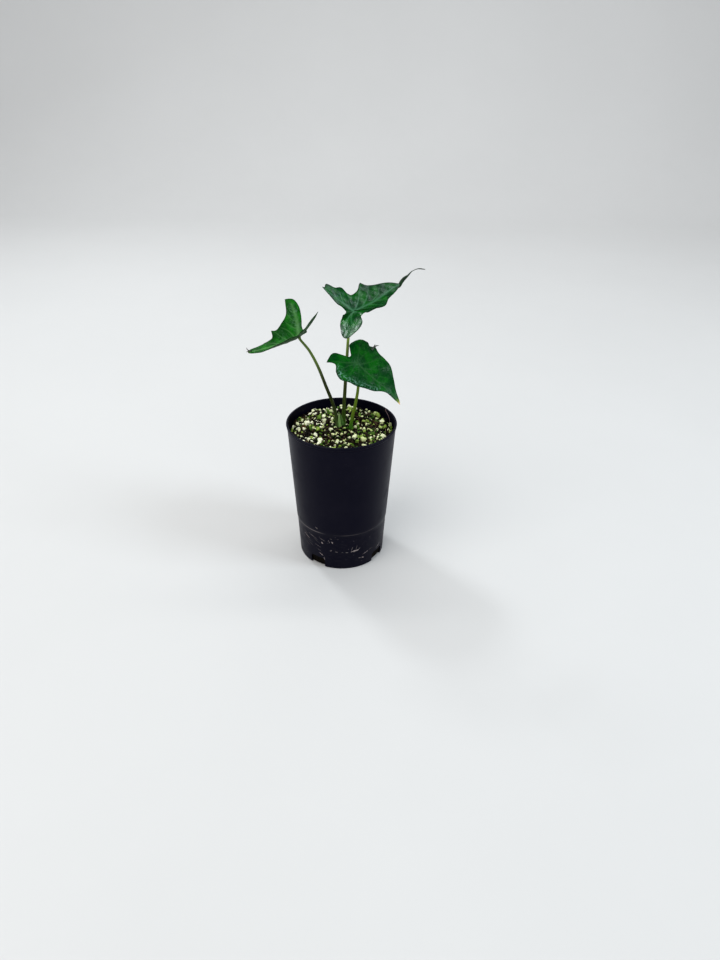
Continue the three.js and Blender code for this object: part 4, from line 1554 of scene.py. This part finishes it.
def make_stem(
    name: str, points: np.ndarray, way: np.ndarray, sides: int, finish: StalkFinish, slot: str, *nodes: str
) -> None:
    """Makes a tube's mesh, paints the way along it on its vertices, and dresses it.

    Args:
        name: The piece's name.
        points: The points of its rings and its two ends.
        way: How far along each ring is, from 0 to 1.
        sides: How many points each ring has.
        finish: Its finish.
        slot: The record's material slot.
        nodes: The nodes that it replaces.
    """
    numbers = {"stalk_way": np.append(np.repeat(way, sides), [0.0, 1.0])}
    piece = make_piece(name, points, closed_faces(len(way), sides), numbers)
    settle(piece, finish.build(), slot, *nodes)


@dataclass(frozen=True)
class Strap:
    """A slim closed strap: a flat oval carried along a route, its broad side first towards one direction."""

    name: str
    route: tuple[Point, ...]
    widths: tuple[float, ...]
    thickness: float
    finish: StalkFinish
    slot: str = "leaf"
    end_thickness: float = 0.55
    turns: float = 0.0
    twist_from: float = 0.3
    facing: Point = (0.0, -0.94, 0.34)
    sides: int = 14
    rows: int = 72

    def build(self) -> None:
        """Half-widths are spread evenly along the way, thickness thins with them, and the oval may turn."""
        path = smooth_route(self.route, self.rows, centripetal=True)
        way = np.linspace(0, 1, self.rows + 1)
        wide = np.interp(way, np.linspace(0, 1, len(self.widths)), self.widths)
        least = self.end_thickness
        thick = np.minimum(self.thickness * (least + (1 - least) * wide / max(self.widths)), wide)
        tangents = unit(np.gradient(path, axis=0))
        side = unit(np.cross(tangents, self.facing))
        turned = np.clip((way - self.twist_from) / (1 - self.twist_from), 0, 1)
        twist = (turned * self.turns * np.pi)[:, None]
        broad = np.cos(twist) * side + np.sin(twist) * np.cross(side, tangents)
        points = tube_points(path, broad, wide[:, None], thick[:, None], self.sides)
        make_stem(self.name, points, way, self.sides, self.finish, self.slot)


@dataclass
class Stalk:
    """A leaf's stalk: a fleshy tube from the corm up to the hub of its blade."""

    name: str
    node: str
    route: tuple[Point, ...]
    bottom_radius: float
    top_radius: float
    blade: Blade
    finish: StalkFinish
    neck: float = 2.4
    sheath_share: float = 0.25
    sheath_slimming: float = 0.85
    flare: float = 0.35
    flare_from: float = 0.97
    flare_span: float = 0.03
    groove_depth: float = 0.10
    groove_angle: float = 0.4 * np.pi
    groove_spread: float = 0.5
    ridge_height: float = 0.012
    ridge_count: int = 9
    sides: int = 28
    rows: int = 150

    def path(self) -> np.ndarray:
        """The route, with its last stretch square to the blade and reaching just into its underside.

        Returns:
            The path's points.
        """
        out = self.blade.axes()[2]
        hub = np.array(self.blade.hub)
        points = [*self.route, tuple(hub - out * self.neck), tuple(hub - out * 0.45)]
        return smooth_route(points, self.rows, centripetal=True)

    def radii(self, way: np.ndarray) -> np.ndarray:
        """Radius along the stalk: a broad foot that soon slims, an even taper, and a small flare at the hub.

        Args:
            way: How far along, from 0 to 1.

        Returns:
            The radius at each.
        """
        slim = self.bottom_radius * self.sheath_slimming
        foot = (self.bottom_radius - slim) * (1 - smooth_step(way / self.sheath_share))
        flare = self.flare * smooth_step((way - self.flare_from) / self.flare_span)
        return foot + slim + (self.top_radius - slim) * way + flare

    def build(self) -> None:
        """A round section carried along the path, with fine ridges and a groove down its upper side."""
        path = self.path()
        way = np.linspace(0, 1, self.rows + 1)
        side = unit(np.cross((0.0, -1.0, 0.15), unit(np.gradient(path, axis=0))))
        angles = np.arange(self.sides) / self.sides * 2 * np.pi
        off_groove = (angles - self.groove_angle) / self.groove_spread
        groove = 1 - self.groove_depth * np.exp(-(off_groove**2))
        ridges = 1 + self.ridge_height * np.sin(self.ridge_count * angles)
        radius = self.radii(way)[:, None] * groove * ridges
        points = tube_points(path, side, radius, radius, self.sides)
        slot = "stalk_green" if self.node == "stalk_front" else "stalk_olive"
        make_stem(self.name, points, way, self.sides, self.finish, slot, self.node)


def all_blades() -> dict[str, Blade]:
    """The three blades, by leaf."""
    return {"tall": tall_blade(), "left": left_blade(), "front": front_blade()}


@dataclass
class Alocasia:
    """The plant: three leaves on their stalks, its small dried and sheathing bits, and the buried corm."""

    blades: dict[str, Blade] = field(default_factory=all_blades)

    def stalks(self) -> list[Stalk]:
        """The three stalks, each with its own route and colours.

        Returns:
            The stalks.
        """
        return [
            Stalk("stalk_tall_skin", "stalk_tall",
                  ((1.2, 5.6, 116.3), (1.3, 5.6, 121), (1.8, 5, 139), (2.9, 4.4, 162), (4.5, 3.8, 191),
                   (6.2, 3.8, 213)),
                  2.1, 0.95, self.blades["tall"],
                  StalkFinish("tall_stalk", (0.050, 0.110, 0.014), (0.040, 0.054, 0.003), (0.20, 0.29, 0.05),
                              (0.09, 0.14, 0.03))),
            Stalk("stalk_left_skin", "stalk_left",
                  ((-3.2, 5.8, 116.3), (-3.2, 5.8, 121), (-6.4, 4.7, 142.5), (-13.4, 3.2, 164),
                   (-20.2, 1.8, 183.5), (-26.8, 1, 197)),
                  2.0, 1.0, self.blades["left"],
                  StalkFinish("left_stalk", (0.075, 0.115, 0.040), (0.026, 0.035, 0.003), (0.12, 0.19, 0.035),
                              (0.08, 0.12, 0.03))),
            Stalk("stalk_front_skin", "stalk_front",
                  ((7.2, 3.2, 116.3), (7.4, 3.2, 121), (9.2, 0.4, 136), (12, -2.8, 151), (14, -6, 167),
                   (13.8, -8.6, 179)),
                  1.9, 0.95, self.blades["front"],
                  StalkFinish("front_stalk", (0.060, 0.220, 0.022), (0.170, 0.260, 0.022), (0.15, 0.23, 0.03),
                              (0.12, 0.26, 0.05))),
        ]

    @staticmethod
    def straps() -> list[Strap]:
        """The tall leaf's tendril, a sheath and the crown between the stalks, dried points and a stray root.

        Returns:
            The straps.
        """
        dark = StalkFinish("tendril_skin", (0.003, 0.034, 0.006), (0.006, 0.024, 0.008),
                           (0.030, 0.036, 0.024), (0.03, 0.10, 0.03))
        pale = StalkFinish("sheath_skin", (0.100, 0.240, 0.060), (0.260, 0.430, 0.150), (0.28, 0.42, 0.16),
                           (0.22, 0.33, 0.14))
        crown = StalkFinish("crown_skin", (0.060, 0.180, 0.045), (0.110, 0.250, 0.060), (0.110, 0.21, 0.05),
                            (0.16, 0.28, 0.10))
        brown = StalkFinish("dried_skin", (0.006, 0.040, 0.008), (0.020, 0.026, 0.014), (0.036, 0.034, 0.024),
                            (0.06, 0.05, 0.035))
        root = StalkFinish("stray_root", (0.17, 0.09, 0.09), (0.15, 0.10, 0.10), (0.10, 0.07, 0.06),
                           (0.24, 0.17, 0.16))
        return [
            Strap("leaf_tendril",
                  ((42.2, 29.8, 241.8), (44.4, 30.8, 240.9), (46.8, 32, 241.8), (48.2, 32.6, 244.4),
                   (50.4, 33.2, 247.2), (53.4, 33.8, 249.6), (56.8, 34.4, 253.1), (61.6, 35, 255),
                   (67.6, 36, 254.4)),
                  (0.5, 1.2, 1.45, 1.5, 1.35, 0.75, 0.6, 0.55, 0.52, 0.46, 0.25), 0.4, dark, turns=1.0,
                  twist_from=0.45),
            Strap("leaf_sheath", ((-0.8, 2.6, 121), (-1.3, 1.9, 127), (-2.0, 2.2, 133.5), (-2.5, 2.8, 140)),
                  (1.2, 1.3, 1.1, 0.8, 0.15), 0.55, pale, "stalk_green"),
            Strap("stalk_crown", ((-0.6, 4.6, 120), (-0.5, 4.2, 126), (-0.8, 4.4, 131), (-1.4, 4.8, 137)),
                  (1.9, 2.9, 3.2, 2.4, 0.4), 1.7, crown, "stalk_green"),
            Strap("dried_spur", ((24.6, 2.6, 197.2), (26.7, 5.4, 198.4), (28.3, 7.2, 198.9),
                                 (30.9, 8.3, 198.8)),
                  (1.3, 1.0, 0.75, 0.4, 0.12), 0.28, brown),
            Strap("dried_spur_branch", ((26.8, 6.2, 198.4), (27.6, 8.1, 200.0)), (0.6, 0.35, 0.1), 0.25,
                  brown, rows=16),
            Strap("left_tip_curl", ((-70.4, -18.4, 203.4), (-72.6, -19.4, 204), (-74, -19.6, 205.2),
                                    (-74.3, -19.6, 206.6)),
                  (0.5, 0.45, 0.3, 0.12), 0.22, brown, rows=30),
            Strap("left_tip_barb", ((-72.2, -19.3, 204), (-74.8, -19.6, 202.9)), (0.4, 0.3, 0.1), 0.22, brown,
                  rows=12),
            Strap("stray_root", ((39.3, 25.2, 132.3), (38.6, 24.4, 131.4), (40.2, 20.8, 129.8),
                                 (42.0, 16.5, 127), (42.6, 13.2, 124)),
                  (0.20, 0.32, 0.36, 0.30, 0.22), 0.25, root, "mix"),
        ]

    def build(self) -> None:
        """Builds every leaf and dresses the corm."""
        for stalk in self.stalks():
            stalk.build()
        for blade in self.blades.values():
            blade.build()
        for strap in self.straps():
            strap.build()
        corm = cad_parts["rootstock"]
        corm.data.materials.clear()
        corm.data.materials.append(CORM_SKIN.build())
        LOG.info("rootstock: dressed")


# ---- Studio and camera


def set_up(name: str, data: bpy.types.ID, axes: Sequence[np.ndarray], place: Point) -> bpy.types.Object:
    """Puts a camera or a light into the scene.

    Args:
        name: Its name.
        data: Its camera or light data.
        axes: Its own X, Y and Z directions.
        place: Where it stands.

    Returns:
        The object.
    """
    matrix = np.eye(4)
    matrix[:3, :3] = np.transpose(axes)
    matrix[:3, 3] = np.array(place) * MM
    thing = bpy.data.objects.new(name, data)
    thing.matrix_world = Matrix(matrix.tolist())
    bpy.context.scene.collection.objects.link(thing)
    return thing


@dataclass(frozen=True)
class Viewpoint:
    """The camera: its place, how far it looks down, its lean, and its focal length in pixels."""

    place: Point = (16.7, -555.7, 423.0)
    pitch: float = 32.26
    lean: float = 0.82
    focal: float = 721.0
    long_side: float = 960.0
    sensor: float = 36.0

    def build(self) -> None:
        """Makes the camera from its right, up and backward directions."""
        pitch, lean = np.radians(self.pitch), np.radians(self.lean)
        forward = np.array([0, np.cos(pitch), -np.sin(pitch)])
        right = np.array([1.0, 0, 0])
        up = np.cross(right, forward)
        leaned_right = right * np.cos(lean) + up * np.sin(lean)
        leaned_up = -right * np.sin(lean) + up * np.cos(lean)
        data = bpy.data.cameras.new("viewpoint")
        data.sensor_fit = "VERTICAL"
        data.sensor_height = self.sensor
        data.lens = self.focal / self.long_side * self.sensor
        data.clip_start = 0.01
        axes = (leaned_right, leaned_up, -forward)
        bpy.context.scene.camera = set_up("viewpoint", data, axes, self.place)


@dataclass(frozen=True)
class Softbox:
    """A soft rectangular light that looks at a point."""

    name: str
    place: Point
    target: Point
    size: Flat
    power: float
    colour: Colour = (1.0, 1.0, 1.0)
    nearly_up: Point = (0.01, 0.02, 1.0)

    def build(self) -> None:
        """Makes the light, turned so that it faces its target."""
        data = bpy.data.lights.new(self.name, "AREA")
        data.shape = "RECTANGLE"
        data.size, data.size_y = (side * MM for side in self.size)
        data.energy, data.color = self.power, self.colour
        back = unit(np.array(self.place, float) - np.array(self.target, float))
        side = unit(np.cross(self.nearly_up, back))
        set_up(self.name, data, (side, np.cross(back, side), back), self.place)


@dataclass
class Studio:
    """A pale floor that sweeps up into a backdrop, an even sky and soft lights."""

    half_width: float = 1600.0
    front: float = -1600.0
    sweep_start: float = 1300.0
    sweep_radius: float = 700.0
    wall_top: float = 3500.0
    floor_level: float = 0.0
    sky: float = 0.34
    seen_sky: float = 0.74
    sky_colour: Colour = (0.93, 0.96, 1.0)
    paper: tuple[Colour, Colour] = ((0.60, 0.60, 0.595), (0.615, 0.615, 0.61))
    lights: tuple[Softbox, ...] = (
        Softbox("key", (-640, -760, 1290), (0, 0, 150), (1300, 1300), 13.3, (1.0, 0.99, 0.97)),
        Softbox("right_window", (1250, -335, 1140), (0, 0, 200), (520, 480), 9.0, (0.86, 0.94, 1.0)),
        Softbox("back_spark", (-730, 840, 1200), (20, 0, 220), (230, 230), 5.0, (0.92, 0.97, 1.0)),
        Softbox("backdrop_wash", (0, 900, 2500), (0, 2000, 500), (3200, 500), 25.0),
    )

    def backdrop(self) -> None:
        """One sheet: flat floor, a quarter circle, and an upright wall, swept across the width."""
        turn = np.linspace(0, np.pi / 2, 24)
        curve = np.column_stack([
            self.sweep_start + self.sweep_radius * np.sin(turn),
            self.floor_level + self.sweep_radius * (1 - np.cos(turn)),
        ])
        profile = np.vstack([[(self.front, self.floor_level)], curve, [(curve[-1, 0], self.wall_top)]])
        across = np.linspace(-self.half_width, self.half_width, 9)
        grid = np.array([[(x, y, z) for x in across] for y, z in profile])
        rows, columns = grid.shape[:2]
        index = np.arange(rows * columns).reshape(rows, columns)
        faces = np.stack([index[:-1, :-1], index[:-1, 1:], index[1:, 1:], index[1:, :-1]], -1).reshape(-1, 4)
        sheet = make_piece("studio_backdrop", grid.reshape(-1, 3), faces.tolist())
        material, graph = new_material("studio_paper")
        tone = graph.drift(graph.place(), Scale=3.0, Low=0.2, High=0.8, Tone_A=self.paper[0],
                           Tone_B=self.paper[1])
        feed(graph, Base_Color=tone.outputs["Color"], Roughness=0.9)
        sheet.data.materials.append(material)

    def build(self) -> None:
        """Makes the backdrop, the sky and the lights, and shows colours through the Standard view with a
        medium high contrast look.
        """
        self.backdrop()
        world = bpy.data.worlds.new("studio_sky")
        world.use_nodes = True
        graph = Graph(world.node_tree)
        background = world.node_tree.nodes["Background"].inputs
        seen = graph.add("ShaderNodeLightPath").outputs["Is Camera Ray"]
        graph.plug(background["Color"], self.sky_colour)
        graph.plug(background["Strength"], graph.stretch(seen, 0.0, 1.0, self.sky, self.seen_sky))
        bpy.context.scene.world = world
        bpy.context.scene.view_settings.view_transform = "Standard"
        bpy.context.scene.view_settings.look = "Medium High Contrast"
        for light in self.lights:
            light.build()


def main() -> None:
    """Builds the camera, the studio, the pot, its mix and the plant in order."""
    logging.basicConfig(level=logging.INFO, format="%(message)s")
    Viewpoint().build()
    Studio().build()
    pot = NurseryPot()
    pot.build()
    PottingMix(pot).build()
    Alocasia().build()
    LOG.info("sizes written")


if __name__ == "__main__":
    main()
